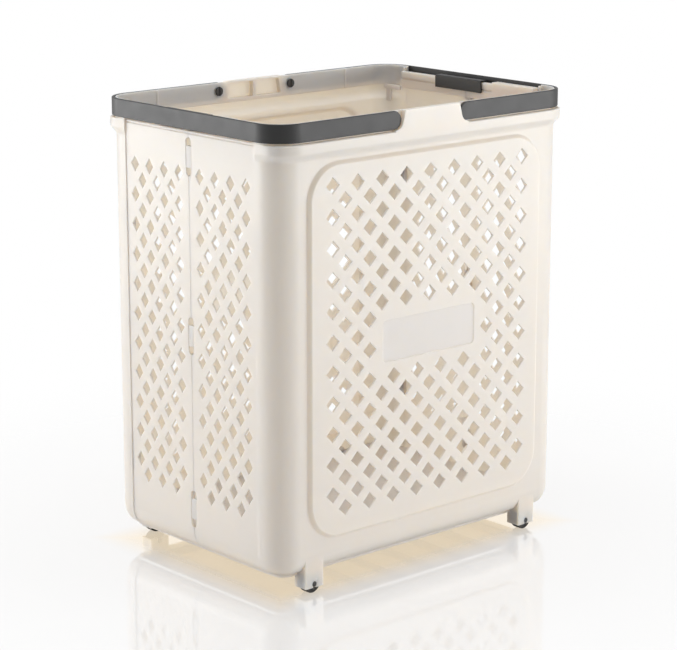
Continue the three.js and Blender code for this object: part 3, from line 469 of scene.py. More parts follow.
def edit(piece):
    """Opens a piece in edit mode with nothing selected."""
    activate(piece)
    bpy.ops.object.mode_set(mode="EDIT")
    bpy.ops.mesh.select_mode(type="VERT")
    bpy.ops.mesh.select_all(action="DESELECT")


def choose(kind, test):
    """Selects the corners, edges or faces of the mesh being edited that pass the test."""
    bpy.ops.mesh.select_mode(type={"verts": "VERT", "edges": "EDGE", "faces": "FACE"}[kind])
    mesh = bmesh.from_edit_mesh(bpy.context.object.data)
    passed = [element for element in getattr(mesh, kind) if test(element)]
    bpy.ops.mesh.select_all(action="DESELECT")
    for element in passed:
        element.select_set(True)
    mesh.select_flush_mode()
    bmesh.update_edit_mesh(bpy.context.object.data)


def every(element, test):
    """True where all corners of an edge or face pass the test of a place."""
    return all(test(corner.co) for corner in element.verts)


def near(a, b):
    """True where two lengths are the same."""
    return abs(a - b) < SAME


def extrude(offset):
    """Extrudes what is selected."""
    bpy.ops.mesh.extrude_region_move(TRANSFORM_OT_translate={"value": Vector(offset)})


def turn(steps, turned, centre, axis):
    """Spins what is selected about an axis; the operator itself turns the other way."""
    bpy.ops.mesh.spin(steps=steps, angle=-turned, center=centre, axis=axis)


def draw(points, closed=True):
    """Draws an outline by extruding one corner from point to point, and leaves it selected."""
    bpy.ops.mesh.select_mode(type="VERT")
    bpy.ops.mesh.select_all(action="DESELECT")
    bpy.ops.mesh.primitive_plane_add(size=SEED, location=points[0])
    bpy.ops.mesh.merge(type="CENTER")
    for here, there in zip(points, points[1:]):
        extrude(Vector(there) - Vector(here))
    bpy.ops.mesh.select_linked()
    if closed:
        choose("verts", lambda corner: corner.select and len(corner.link_edges) == 1)
        bpy.ops.mesh.edge_face_add()
        bpy.ops.mesh.select_linked()


def add_prism(points, offset):
    """A prism of a drawn outline."""
    draw(points)
    bpy.ops.mesh.edge_face_add()
    extrude(offset)


def add_box(start, end, ease=0.0):
    """A box between two corners given in any order, with its edges eased if a radius is given."""
    low = Vector(map(min, start, end))
    high = Vector(map(max, start, end))
    centre = (low + high) / 2
    bpy.ops.mesh.select_mode(type="VERT")
    bpy.ops.mesh.select_all(action="DESELECT")
    bpy.ops.mesh.primitive_cube_add(size=1, location=centre)
    bpy.ops.transform.resize(value=high - low, center_override=centre)
    if ease:
        bpy.ops.mesh.bevel(offset=ease, segments=2, affect="EDGES")


def add_rod(radius, start, end, sides=ROD_SIDES, ease=0.0, steps=2):
    """A round rod between two points on a line along an axis, with its ends eased if a radius is given."""
    start, end = Vector(start), Vector(end)
    along = max(range(3), key=lambda i: abs(end[i] - start[i]))
    rotation = [(0, QUARTER, 0), (QUARTER, 0, 0), (0, 0, 0)][along]
    bpy.ops.mesh.select_mode(type="VERT")
    bpy.ops.mesh.select_all(action="DESELECT")
    bpy.ops.mesh.primitive_cylinder_add(
        vertices=sides,
        radius=radius,
        depth=(end - start).length,
        location=(start + end) / 2,
        rotation=rotation,
    )
    if ease:
        choose("edges", lambda edge: edge.select and near(edge.verts[0].co[along], edge.verts[1].co[along]))
        bpy.ops.mesh.bevel(offset=ease, segments=steps, affect="EDGES")
        bpy.ops.mesh.select_mode(type="VERT")


def add_plate(centre, width, height, radius, rotation, steps):
    """A flat face with round corners, turned from lying flat, and left selected."""
    bpy.ops.mesh.select_mode(type="VERT")
    bpy.ops.mesh.select_all(action="DESELECT")
    bpy.ops.mesh.primitive_plane_add(size=1, location=centre, rotation=rotation)
    size = (width, 1, height) if any(rotation) else (width, height, 1)
    bpy.ops.transform.resize(value=size, center_override=centre)
    bpy.ops.mesh.bevel(offset=radius, segments=steps, affect="VERTICES")
    bpy.ops.mesh.select_mode(type="FACE")


def add_turned(profile, x, z, steps):
    """A round solid turned about a line along Y; the profile gives pairs of radius and place along Y."""
    draw([(x + radius, y, z) for radius, y in profile], closed=False)
    turn(steps, 4 * QUARTER, (x, 0, z), (0, 1, 0))


def mend():
    """Merges doubled corners and turns the faces of the mesh being edited outwards."""
    bpy.ops.mesh.select_mode(type="VERT")
    bpy.ops.mesh.select_all(action="SELECT")
    bpy.ops.mesh.remove_doubles(threshold=DOUBLED)
    bpy.ops.mesh.normals_make_consistent(inside=False)


def modify(piece, kind, **settings):
    """Adds a modifier to a piece, sets it and applies it."""
    activate(piece)
    bpy.ops.object.modifier_add(type=kind)
    modifier = piece.modifiers[-1]
    for name, value in settings.items():
        setattr(modifier, name, value)
    bpy.ops.object.modifier_apply(modifier=modifier.name)


def combine(piece, tool, operation, overlaps=True):
    """Joins a piece with a tool, or cuts it, and removes the tool."""
    edit(tool)
    mend()
    modify(piece, "BOOLEAN", operation=operation, solver="EXACT", use_self=overlaps, object=tool)
    bpy.data.objects.remove(tool)


def copy_of(piece, name, offset=(0, 0, 0)):
    """A copy with a mesh of its own, moved by the offset."""
    activate(piece)
    bpy.ops.object.duplicate(linked=False)
    copy = bpy.context.object
    copy.name = copy.data.name = name
    bpy.ops.transform.translate(value=offset)
    bpy.ops.object.transform_apply(location=True, rotation=True, scale=True)
    return copy


def turn_round(piece):
    """Turns a piece half a turn about the upright axis, in its mesh."""
    activate(piece)
    piece.rotation_euler.z = math.pi
    bpy.ops.object.transform_apply(location=True, rotation=True, scale=True)


def flip_side(piece):
    """Makes the left-hand piece of a right-hand one, with its faces turned outwards again."""
    edit(piece)
    bpy.ops.mesh.select_all(action="SELECT")
    bpy.ops.transform.mirror(constraint_axis=(True, False, False), center_override=(0, 0, 0))
    bpy.ops.mesh.normals_make_consistent(inside=False)


def dress(piece, body, slot, material, *nodes, sharp=32.0):
    """Smooths a finished piece, gives it its material and lets it stand for nodes of the frame."""
    edit(piece)
    mend()
    bpy.ops.mesh.select_mode(type="EDGE")
    bpy.ops.mesh.select_all(action="DESELECT")
    bpy.ops.mesh.select_non_manifold()
    activate(piece)
    loose = sum(edge.select for edge in piece.data.edges)
    if loose:
        raise RuntimeError(f"{piece.name} has {loose} open edges")
    bpy.ops.object.shade_smooth_by_angle(angle=math.radians(sharp))
    modify(piece, "WEIGHTED_NORMAL", mode="FACE_AREA", keep_sharp=True, weight=80)
    piece.data.materials.clear()
    piece.data.materials.append(material)
    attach(piece, body)
    if nodes:
        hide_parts(*nodes)
    return piece


def eased(corners, steps=FILLET):
    """Points of an outline given as corners with a radius each; corners with one become arcs."""
    points = []
    for i, (u, v, radius) in enumerate(corners):
        here = Vector((u, v))
        if not radius:
            points.append(here)
            continue
        before = Vector(corners[i - 1][:2]) - here
        after = Vector(corners[(i + 1) % len(corners)][:2]) - here
        half = before.angle(after) / 2
        room = REACH_SHARE * min(before.length, after.length)
        reach = min(radius / math.tan(half), room)
        fits = reach * math.tan(half)
        centre = here + (before.normalized() + after.normalized()).normalized() * (fits / math.sin(half))
        start = here + before.normalized() * reach - centre
        end = here + after.normalized() * reach - centre
        for step in range(steps + 1):
            points.append(centre + start.slerp(end, step / steps).normalized() * fits)
    return points


def rectangle(u0, u1, v0, v1, radius, steps=ROUND):
    """Points of a rectangle with round corners."""
    return eased([(u0, v0, radius), (u1, v0, radius), (u1, v1, radius), (u0, v1, radius)], steps)


def smooth_step(share):
    """Soft rise from 0 to 1."""
    share = min(max(share, 0), 1)
    return share * share * (3 - 2 * share)


def tuck_curve(walls, lip_offset, top, lip_level):
    """Quarter ellipse of the tuck, from the lip up to the wall plane at offset top."""
    points = []
    for i in range(TUCK + 1):
        turned = QUARTER * i / TUCK
        offset = lip_offset + (top - lip_offset) * math.sin(turned)
        points.append((offset, walls.tuck_top - (walls.tuck_top - lip_level) * math.cos(turned), 0))
    return points


def collar_curve(plan, start, end):
    """S-shaped run of the collar, from the wall out to its full reach."""
    points = []
    for i in range(COLLAR + 1):
        share = i / COLLAR
        offset = start + (end - start) * (1 - math.cos(math.pi * share)) / 2
        points.append((offset, plan.collar_start + (plan.collar_full - plan.collar_start) * share, 0))
    return points


def shell_section(plan, walls, share):
    """Wall section of a shell as offset and height; share says how far the collar stands out there."""
    wall, tuck, edge = walls.wall, walls.tuck, walls.edge_radius
    proud = walls.collar_proud * share
    inside = tuck_curve(walls, -tuck - wall, -wall, plan.lip_top + wall)
    inside += collar_curve(plan, -wall, proud - wall)
    corners = [(-tuck, walls.lip_bottom, edge)]
    corners += tuck_curve(walls, -tuck, 0, plan.lip_top)
    corners += collar_curve(plan, 0, proud)
    corners += [
        (proud, plan.ledge, walls.ledge_radius),
        (walls.rim_proud, plan.ledge, edge / 2),
        (walls.rim_proud, walls.rim_top, edge),
        (plan.rim_inner, walls.rim_top, edge),
        (plan.rim_inner, plan.ledge - wall, edge),
        (proud - wall, plan.ledge - wall, edge),
    ]
    corners += inside[::-1]
    corners.append((-tuck - wall, walls.lip_bottom, edge))
    return eased(corners)


def shell_stations(plan, walls):
    """Places, directions and collar shares along the left corner, from the seam to the front."""
    stations = [(-plan.half_width, -plan.seam_y - walls.seam_gap / 2, math.pi, LEAST_SHARE)]
    for i in range(CORNER + 1):
        turned = QUARTER * i / CORNER
        share = LEAST_SHARE + (1 - LEAST_SHARE) * smooth_step(turned / walls.collar_fade)
        direction = math.pi + turned
        x = -plan.corner_x + walls.corner_radius * math.cos(direction)
        y = -plan.corner_y + walls.corner_radius * math.sin(direction)
        stations.append((x, y, direction, share))
    return stations


def model_walls(plan, walls):
    """The front shell's wall: sections drawn round a corner, bridged, drawn out to the middle, mirrored."""
    piece = begin("front_shell_moulding")
    for x, y, direction, share in shell_stations(plan, walls):
        nx, ny = math.cos(direction), math.sin(direction)
        draw([(x + nx * d, y + ny * d, z) for d, z in shell_section(plan, walls, share)])
    bpy.ops.mesh.select_all(action="SELECT")
    bpy.ops.mesh.bridge_edge_loops(type="SINGLE")
    choose("verts", lambda corner: near(corner.co.x, -plan.corner_x))
    extrude((plan.corner_x, 0, 0))
    seam = -plan.seam_y - walls.seam_gap / 2
    choose("verts", lambda corner: near(corner.co.y, seam))
    bpy.ops.mesh.edge_face_add()
    modify(piece, "MIRROR", use_axis=(True, False, False), merge_threshold=SAME)
    return piece


def model_panel(piece, plan, walls, panel):
    """Opens the flat of the front wall outside and inside, and fills both faces with the raised panel."""
    for y, rotation, grow, depth in (
        (-plan.half_depth, (QUARTER, 0, 0), 0, panel.proud),
        (-plan.half_depth + walls.wall, (-QUARTER, 0, 0), -walls.wall, -panel.proud),
    ):
        edit(piece)
        inner = lambda place: (
            near(place.y, y)
            and walls.tuck_top - SAME < place.z < plan.collar_start + SAME
            and abs(place.x) < plan.corner_x + SAME
        )
        choose("faces", lambda face: every(face, inner))
        bpy.ops.mesh.delete(type="FACE")
        run = panel.slope / 2 + panel.foot / 2
        grown = grow + run
        low, high = panel.bottom - grown, plan.panel_top + grown
        centre = (0, y, (low + high) / 2)
        width = 2 * (plan.panel_half + grown)
        add_plate(centre, width, high - low, panel.radius + grown, rotation, 2 * CORNER)
        reached = 0
        for i in range(1, ROUND + 1):
            level = depth * (1 - math.cos(math.pi * i / ROUND)) / 2
            bpy.ops.mesh.inset(thickness=2 * run / ROUND, depth=level - reached)
            reached = level
        choose("edges", lambda edge: edge.is_boundary and every(edge, lambda place: near(place.y, y)))
        bpy.ops.mesh.fill(use_beauty=True)
        level = y - panel.proud
        count = math.floor(2 * (plan.panel_half - panel.shell_margin) / panel.shell_pitch)
        lines = [(i * panel.shell_pitch / 2 + OVERRUN, 0, 0) for i in range(-count, count + 1)]
        slice_faces(lambda face: every(face, lambda place: near(place.y, level)), lines, (1, 0, 0))
        mend()


def slice_faces(test, places, normal):
    """Splits the faces that pass the test along planes, so that no face will have a hole inside it."""
    for place in places:
        choose("faces", test)
        bpy.ops.mesh.bisect(plane_co=place, plane_no=normal)


def lattice_rows(plan, panel):
    """Heights of the rows of holes, with every second one marked."""
    rows = []
    level = plan.lattice_top
    while level >= panel.bottom + panel.lattice_foot:
        rows.append((level, len(rows) % 2 == 1))
        level -= panel.lattice_pitch / 2
    return rows


def shell_spots(plan, panel):
    """Centres of the holes of the front wall, clear of the label pocket."""
    spots = []
    reach = plan.panel_half - panel.shell_margin
    clear_x = (panel.label_width + panel.shell_hole_width) / 2
    clear_z = (panel.label_height + panel.hole_height) / 2
    for z, odd in lattice_rows(plan, panel):
        shift = panel.shell_pitch / 2 if odd else 0
        columns = math.floor((reach - shift) / panel.shell_pitch)
        for i in range(-columns - odd, columns + 1):
            x = i * panel.shell_pitch + shift
            if abs(x) >= clear_x or abs(z - panel.label_centre) >= clear_z:
                spots.append((x, z))
    return spots


def leaf_spots(plan, panel, side):
    """Centres of the holes of a right-hand leaf."""
    spots = []
    for z, odd in lattice_rows(plan, panel):
        run = panel.leaf_margin + (panel.leaf_pitch / 2 if odd else 0)
        while run <= plan.seam_y - panel.leaf_margin:
            spots.append((side * (plan.seam_y - run), z))
            run += panel.leaf_pitch
    return spots


def add_cutters(at, spots, width, height, low, face, edge):
    """Diamond-shaped cutters from offset low outwards, grown at the face to leave an eased edge."""
    u, w = spots[0]
    outward = at(0, 0, 1) - at(0, 0, 0)
    tips = ((width / 2, 0), (0, height / 2), (-width / 2, 0), (0, -height / 2))
    draw([at(u + along, w + up, low) for along, up in tips])
    bpy.ops.mesh.edge_face_add()
    extrude(outward * (face - edge - low))
    grown = edge + OVERRUN
    extrude(outward * grown)
    inradius = width * height / math.hypot(width, height) / 2
    centre = at(u, w, face + OVERRUN)
    bpy.ops.transform.resize(value=((inradius + grown) / inradius,) * 3, center_override=centre)
    bpy.ops.mesh.select_linked()
    for (u0, w0), (u1, w1) in zip(spots, spots[1:]):
        move = at(u1, w1, 0) - at(u0, w0, 0)
        bpy.ops.mesh.duplicate_move(TRANSFORM_OT_translate={"value": move})


def block_outline(plan, walls, rim, handle):
    """Outline of the block between the handle ends, cut back so that both handles clear it when raised."""
    radius = handle.band_height / 2 + rim.block_clearance
    lean = handle.travel - QUARTER
    tangent_x = handle.pivot_offset - radius * math.cos(lean)
    tangent_z = plan.pivot_z - radius * math.sin(lean)
    top_x = tangent_x - (walls.rim_top - tangent_z) * math.tan(lean)
    right = [(top_x, walls.rim_top), (tangent_x, tangent_z)]
    for i in range(1, ROUND + 1):
        turned = lean + (QUARTER - lean) * i / ROUND
        x = handle.pivot_offset - radius * math.cos(turned)
        right.append((x, plan.pivot_z - radius * math.sin(turned)))
    right.append((handle.pivot_offset, plan.block_bottom))
    return [(-x, z) for x, z in reversed(right)] + right


def add_rim_block(plan, walls, rim, handle):
    """The block between the handle ends, flush with the collar, with its outer edges eased."""
    outline = block_outline(plan, walls, rim, handle)
    front = -plan.half_depth - walls.collar_proud
    back = -plan.half_depth - walls.rim_proud + walls.rim_thickness / 2
    add_prism([(x, back, z) for x, z in outline], (0, front - back, 0))
    outer = lambda place: near(place.y, front) and abs(place.x) < handle.pivot_offset + OVERRUN
    base = lambda place: near(place.z, plan.block_bottom)
    choose("edges", lambda edge: edge.select and every(edge, outer) and not every(edge, base))
    bpy.ops.mesh.bevel(offset=walls.edge_radius / 2, segments=2, affect="EDGES")


def add_seam_knuckle(leaf, x, y, away, low, high, plane):
    """Barrel of a seam hinge with the web that ties it to the wall."""
    add_rod(leaf.seam_radius, (x, y, low), (x, y, high), ease=leaf.seam_radius / 6)
    add_box((x, y + away * SEAM_HALF, low), (plane, y + away * leaf.seam_radius, high))


def add_rim_rib(plan, walls, rim, side):
    """Upright rib on the inside of the rim."""
    x, half = side * plan.rib_x, rim.rib_width / 2
    face = -plan.half_depth - plan.rim_inner
    low, high = plan.ledge - walls.wall, walls.rim_top - walls.edge_radius
    start = (x - half, face - walls.rim_thickness / 2, low)
    add_box(start, (x + half, face + rim.rib_depth, high), rim.rib_ease)


def add_corner_hook(plan, walls, rim, side):
    """Hook-shaped stiffener inside a corner: an arm under the ledge and a post down the corner."""
    x0 = side * (plan.half_width - rim.hook_inset)
    x1 = x0 - side * rim.hook_thickness
    top = plan.ledge - walls.wall / 2
    run = walls.corner_radius - rim.hook_inset
    post_y = -plan.corner_y - math.sqrt((walls.corner_radius - walls.wall) ** 2 - run**2)
    reach = walls.corner_radius + plan.rim_inner
    arm_y = -plan.corner_y - math.sqrt(reach**2 - (run - rim.hook_thickness) ** 2) - walls.wall / 2
    end_y = -plan.seam_y - rim.hook_seam_gap
    add_box((x0, arm_y, top - rim.hook_arm), (x1, end_y, top), rim.hook_ease)
    start = (x0, post_y - walls.wall / 2, top - rim.hook_post_height)
    add_box(start, (x1, post_y + rim.hook_post_width, top), rim.hook_ease)


def add_rim_flange(plan, walls, rim, side):
    """Flange across the rim's end at the seam."""
    x0 = side * (plan.half_width + plan.rim_inner + walls.rim_thickness / 2)
    x1 = x0 - side * rim.flange_width
    seam_end = -plan.seam_y - SEAM_HALF
    low, high = plan.ledge - walls.wall / 2, walls.rim_top - rim.flange_drop
    add_box((x0, seam_end, low), (x1, seam_end - rim.flange_thickness, high), rim.flange_ease)


def add_foot(plan, walls, base, side):
    """Foot that carries a wheel, rooted in the tuck, with its lowest and its front edges eased."""
    x, half_wall = side * plan.foot_x, walls.wall / 2
    lip = plan.lip_top + half_wall
    middle = [(d, z) for d, z, _ in tuck_curve(walls, -walls.tuck - half_wall, -half_wall, lip)]
    outline = [(-base.foot_setback, base.foot_bottom), (-base.foot_setback, base.foot_top)]
    outline += [point for point in middle[::-1] if point[1] < base.foot_top]
    outline += [(-base.foot_depth, lip), (-base.foot_depth, base.foot_bottom)]
    start_x = x - base.foot_width / 2
    add_prism([(start_x, -plan.half_depth - d, z) for d, z in outline], (base.foot_width, 0, 0))
    lowest = lambda place: near(place.z, base.foot_bottom)
    front = lambda place: near(place.y, -plan.half_depth + base.foot_setback)
    bpy.ops.mesh.select_linked()
    choose("edges", lambda edge: edge.select and (every(edge, lowest) or every(edge, front)))
    bpy.ops.mesh.bevel(offset=walls.edge_radius, segments=FILLET, affect="EDGES")


def add_shell_details(plan, scene):
    """What a shell carries: block, ribs, corner hooks, flanges, feet and knuckles of the seam hinges."""
    walls, rim, leaf, base = scene.basket_walls, scene.basket_rim, scene.basket_leaf, scene.basket_base
    add_rim_block(plan, walls, rim, scene.basket_handle)
    for side in (-1, 1):
        add_rim_rib(plan, walls, rim, side)
        add_corner_hook(plan, walls, rim, side)
        add_rim_flange(plan, walls, rim, side)
        add_foot(plan, walls, base, side)
        x = side * plan.seam_hinge_x
        plane = side * (plan.half_width - walls.wall / 2)
        for level in plan.seam_levels:
            for way in (-1, 1):
                start = level + way * leaf.seam_leaf_knuckle / 2
                end = start + way * leaf.seam_shell_knuckle
                add_seam_knuckle(leaf, x, -plan.seam_y, -1, start, end, plane)


def add_shell_cuts(plan, scene):
    """What is cut from a shell: pocket, label pocket, wheel wells, keyholes and pin holes."""
    walls, rim, panel, leaf = scene.basket_walls, scene.basket_rim, scene.basket_panel, scene.basket_leaf
    handle, base = scene.basket_handle, scene.basket_base
    back = -plan.half_depth - walls.collar_proud + walls.wall
    inside = -plan.half_depth - plan.rim_inner + OVERRUN
    pocket_top, pocket_bottom = walls.rim_top - rim.pocket_top_drop, walls.rim_top - rim.pocket_bottom_drop
    for side in (-1, 1):
        near_x = side * rim.pocket_rib / 2
        corners = [(near_x, pocket_bottom), (side * rim.pocket_bottom_half, pocket_bottom)]
        corners += [(side * rim.pocket_top_half, pocket_top), (near_x, pocket_top)]
        outline = eased([(x, z, rim.pocket_radius) for x, z in corners])
        add_prism([(x, back, z) for x, z in outline], (0, inside - back, 0))
        x = side * plan.foot_x
        well = base.wheel_radius + base.well_clearance
        low = base.foot_bottom - OVERRUN
        well_front = -plan.half_depth + base.fork_wall
        well_back = -plan.half_depth + base.foot_depth - base.fork_wall
        add_box((x - well, well_front, low), (x + well, well_back, base.wheel_radius + well))
        outside = -plan.half_depth - OVERRUN
        behind = -plan.half_depth + base.foot_depth + OVERRUN
        start, end = (x, outside, base.wheel_radius), (x, behind, base.wheel_radius)
        add_rod(base.axle_radius + FIT, start, end, FINE_SIDES)
        half = base.axle_throat / 2
        add_box((x - half, outside, low), (x + half, behind, base.wheel_radius))
        x = side * plan.seam_hinge_x
        reach = leaf.seam_leaf_knuckle / 2 + leaf.seam_shell_knuckle + OVERRUN
        for level in plan.seam_levels:
            start, end = (x, -plan.seam_y, level - reach), (x, -plan.seam_y, level + reach)
            add_rod(leaf.pin_radius + FIT, start, end)
        x = side * handle.pivot_offset
        outside = -plan.half_depth - walls.rim_proud - OVERRUN
        start, end = (x, outside, plan.pivot_z), (x, inside, plan.pivot_z)
        add_rod(handle.shank_radius + FIT, start, end, FINE_SIDES)
    half_width, half_height = panel.label_width / 2, panel.label_height / 2
    face = -plan.half_depth - panel.proud
    outline = rectangle(-half_width, half_width, -half_height, half_height, panel.label_radius)
    rise = panel.label_depth + OVERRUN
    add_prism([(x, face + panel.label_depth, panel.label_centre + z) for x, z in outline], (0, -rise, 0))
    centre = (0, face - OVERRUN, panel.label_centre)
    bpy.ops.transform.resize(value=(1 + rise / panel.label_height,) * 3, center_override=centre)


def add_base_ears(plan, base):
    """Ears of the base hinges inside the tuck, on the side of the front shell and turned with it."""
    reach = base.knuckle_length / 2 + FIT
    low, high = plan.base_hinge_z - base.hinge_radius, plan.base_hinge_z + base.hinge_radius
    for side in (-1, 1):
        for way in (-1, 1):
            start = side * base.hinge_offset + way * reach
            end = start + way * base.ear_length
            hinge_y, hinge_z = -plan.base_hinge_y, plan.base_hinge_z
            add_rod(base.hinge_radius, (start, hinge_y, hinge_z), (end, hinge_y, hinge_z))
            add_box((start, -plan.half_depth + plan.half_wall, low), (end, hinge_y, high))


def add_base_bores(plan, base, leaf, hinge_y):
    """Bores of the two base hinges."""
    reach = base.knuckle_length / 2 + FIT + base.ear_length + OVERRUN
    for x in (-base.hinge_offset, base.hinge_offset):
        start, end = (x - reach, hinge_y, plan.base_hinge_z), (x + reach, hinge_y, plan.base_hinge_z)
        add_rod(leaf.pin_radius + FIT, start, end)


def front_at(plan):
    """Place on the front wall at a run, a height and an offset."""
    return lambda u, w, d: Vector((u, -plan.half_depth - d, w))


def side_at(plan):
    """Place on the right wall at a run, a height and an offset."""
    return lambda u, w, d: Vector((plan.half_width + d, u, w))


def model_shells(plan, scene):
    """Both shells; the back one is the front one turned round, with the ears of the base hinges."""
    walls, panel, base, leaf = scene.basket_walls, scene.basket_panel, scene.basket_base, scene.basket_leaf
    front = model_walls(plan, walls)
    model_panel(front, plan, walls, panel)
    tool = begin("tool")
    add_shell_details(plan, scene)
    combine(front, tool, "UNION")
    tool = begin("tool")
    add_shell_cuts(plan, scene)
    combine(front, tool, "DIFFERENCE")
    tool = begin("tool")
    sizes = (panel.shell_hole_width, panel.hole_height)
    low = -walls.wall - OVERRUN
    add_cutters(front_at(plan), shell_spots(plan, panel), *sizes, low, panel.proud, panel.hole_edge)
    combine(front, tool, "DIFFERENCE", overlaps=False)
    back = copy_of(front, "back_shell_moulding")
    tool = begin("tool")
    add_base_ears(plan, base)
    combine(back, tool, "UNION")
    tool = begin("tool")
    add_base_bores(plan, base, leaf, -plan.base_hinge_y)
    combine(back, tool, "DIFFERENCE", overlaps=False)
    turn_round(back)
    return front, back


def leaf_section(plan, walls, leaf):
    """Section of a leaf as offset and height: face, tuck, shadow line and shelf."""
    edge = walls.edge_radius
    inner = -leaf.inset - walls.wall
    shelf_bottom = plan.shelf - leaf.shelf_thickness
    shadow_top = plan.face_top + leaf.shadow_height
    shelf_inner = -leaf.rail_outer - leaf.rail_width
    corners = [(-walls.tuck, walls.lip_bottom, edge)]
    corners += tuck_curve(walls, -walls.tuck, -leaf.inset, plan.lip_top)
    corners += [
        (-leaf.inset, plan.face_top, edge / 2),
        (-leaf.inset - leaf.shadow_depth, plan.face_top, 0),
        (-leaf.inset - leaf.shadow_depth, shadow_top, 0),
        (-leaf.shelf_setback, shadow_top, edge / 2),
        (-leaf.shelf_setback, plan.shelf, edge),
        (shelf_inner, plan.shelf, edge / 2),
        (shelf_inner, shelf_bottom, edge / 2),
        (inner, shelf_bottom, edge),
    ]
    corners += tuck_curve(walls, -walls.tuck - walls.wall, inner, plan.lip_top + walls.wall)[::-1]
    corners.append((-walls.tuck - walls.wall, walls.lip_bottom, edge))
    return eased(corners)


def rail_section(plan, leaf):
    """Section of the lock rail as offset and height, with the groove for the sleeve's bead."""
    outer, inner = -leaf.rail_outer, -leaf.rail_outer - leaf.rail_width
    root = plan.shelf - leaf.shelf_thickness / 2
    groove_top = plan.groove + leaf.groove_height
    return eased([
        (outer, root, 0),
        (outer, plan.rail_top, leaf.rail_width / 8),
        (inner, plan.rail_top, leaf.rail_width / 8),
        (inner, groove_top, 0),
        (inner + leaf.groove_depth, groove_top, 0),
        (inner + leaf.groove_depth, plan.groove, 0),
        (inner, plan.groove, 0),
        (inner, root, 0),
    ])


def add_fold_cuts(plan, walls, leaf):
    """Windows of the fold hinges, with round ends."""
    clear_y = leaf.knuckle_radius + leaf.window_clearance
    inner = plan.half_width - leaf.inset - walls.wall - OVERRUN
    for level in plan.fold_levels:
        low, high = level - plan.fold_reach, level + plan.fold_reach
        outline = rectangle(-clear_y, clear_y, low, high, WINDOW_ROUND_SHARE * clear_y)
        add_prism([(inner, y, z) for y, z in outline], (plan.half_width + OVERRUN - inner, 0, 0))


def add_fold_parts(plan, walls, leaf, side):
    """What a leaf adds at its fold: covered knuckles on the front leaf, bosses on the back one."""
    inner = plan.half_width - leaf.inset - walls.wall
    clear_y = leaf.knuckle_radius + leaf.window_clearance
    for level in plan.fold_levels:
        if side < 0:
            low, high = level - leaf.knuckle_length / 2, level + leaf.knuckle_length / 2
            ease = KNUCKLE_EASE_SHARE * leaf.knuckle_radius
            start, end = (plan.fold_x, 0, low), (plan.fold_x, 0, high)
            add_rod(leaf.knuckle_radius, start, end, FINE_SIDES, ease, steps=4)
            web_x = plan.fold_x - leaf.knuckle_radius / 2
            web_y = -clear_y - walls.wall / 2
            web_end = (inner + walls.wall / 2, 0, high - ease)
            add_box((web_x, web_y, low + ease), web_end, leaf.web_ease)
            cover = clear_y - leaf.cover_gap
            front = plan.half_width - leaf.inset - leaf.cover_drop
            add_box((plan.fold_x, -cover, low + FIT), (front, cover, high - FIT), leaf.cover_ease)
            continue
        back = plan.fold_x - leaf.boss_depth
        for way in (-1, 1):
            start = level + way * plan.fold_reach
            end = start + way * leaf.boss_length
            tip = (inner - FIT, leaf.boss_reach, end)
            add_box((back, -leaf.knuckle_radius, start), tip, leaf.boss_ease)
            add_box((back, SEAM_HALF, start), (inner + walls.wall / 2, leaf.boss_reach, end))


def add_leaf_parts(plan, scene, side, start, end):
    """What a leaf carries: lock rail, the front leaf's block and the knuckles of the seam hinges."""
    walls, leaf = scene.basket_walls, scene.basket_leaf
    rail_start = plan.block_end if side < 0 else start
    outline = [(plan.half_width + d, rail_start, z) for d, z in rail_section(plan, leaf)]
    add_prism(outline, (0, end - rail_start, 0))
    if side < 0:
        low = (plan.sleeve_inner_x, start, plan.shelf - leaf.shelf_thickness / 2)
        add_box(low, (plan.sleeve_outer_x, plan.block_end, plan.sleeve_top), leaf.block_ease)
    knuckle = leaf.seam_leaf_knuckle / 2 - FIT
    plane = plan.half_width - leaf.inset - walls.wall / 2
    x, y = plan.seam_hinge_x, side * plan.seam_y
    for level in plan.seam_levels:
        add_seam_knuckle(leaf, x, y, -side, level - knuckle, level + knuckle, plane)


def add_leaf_bores(plan, leaf, side):
    """Bores of a leaf's fold hinges and seam hinges."""
    reach = plan.fold_pin_reach + FIT
    for level in plan.fold_levels:
        start, end = (plan.fold_x, 0, level - reach), (plan.fold_x, 0, level + reach)
        add_rod(leaf.pin_radius + FIT, start, end)
    reach = leaf.seam_leaf_knuckle / 2 + leaf.seam_shell_knuckle + OVERRUN
    for level in plan.seam_levels:
        x, y = plan.seam_hinge_x, side * plan.seam_y
        add_rod(leaf.pin_radius + FIT, (x, y, level - reach), (x, y, level + reach))


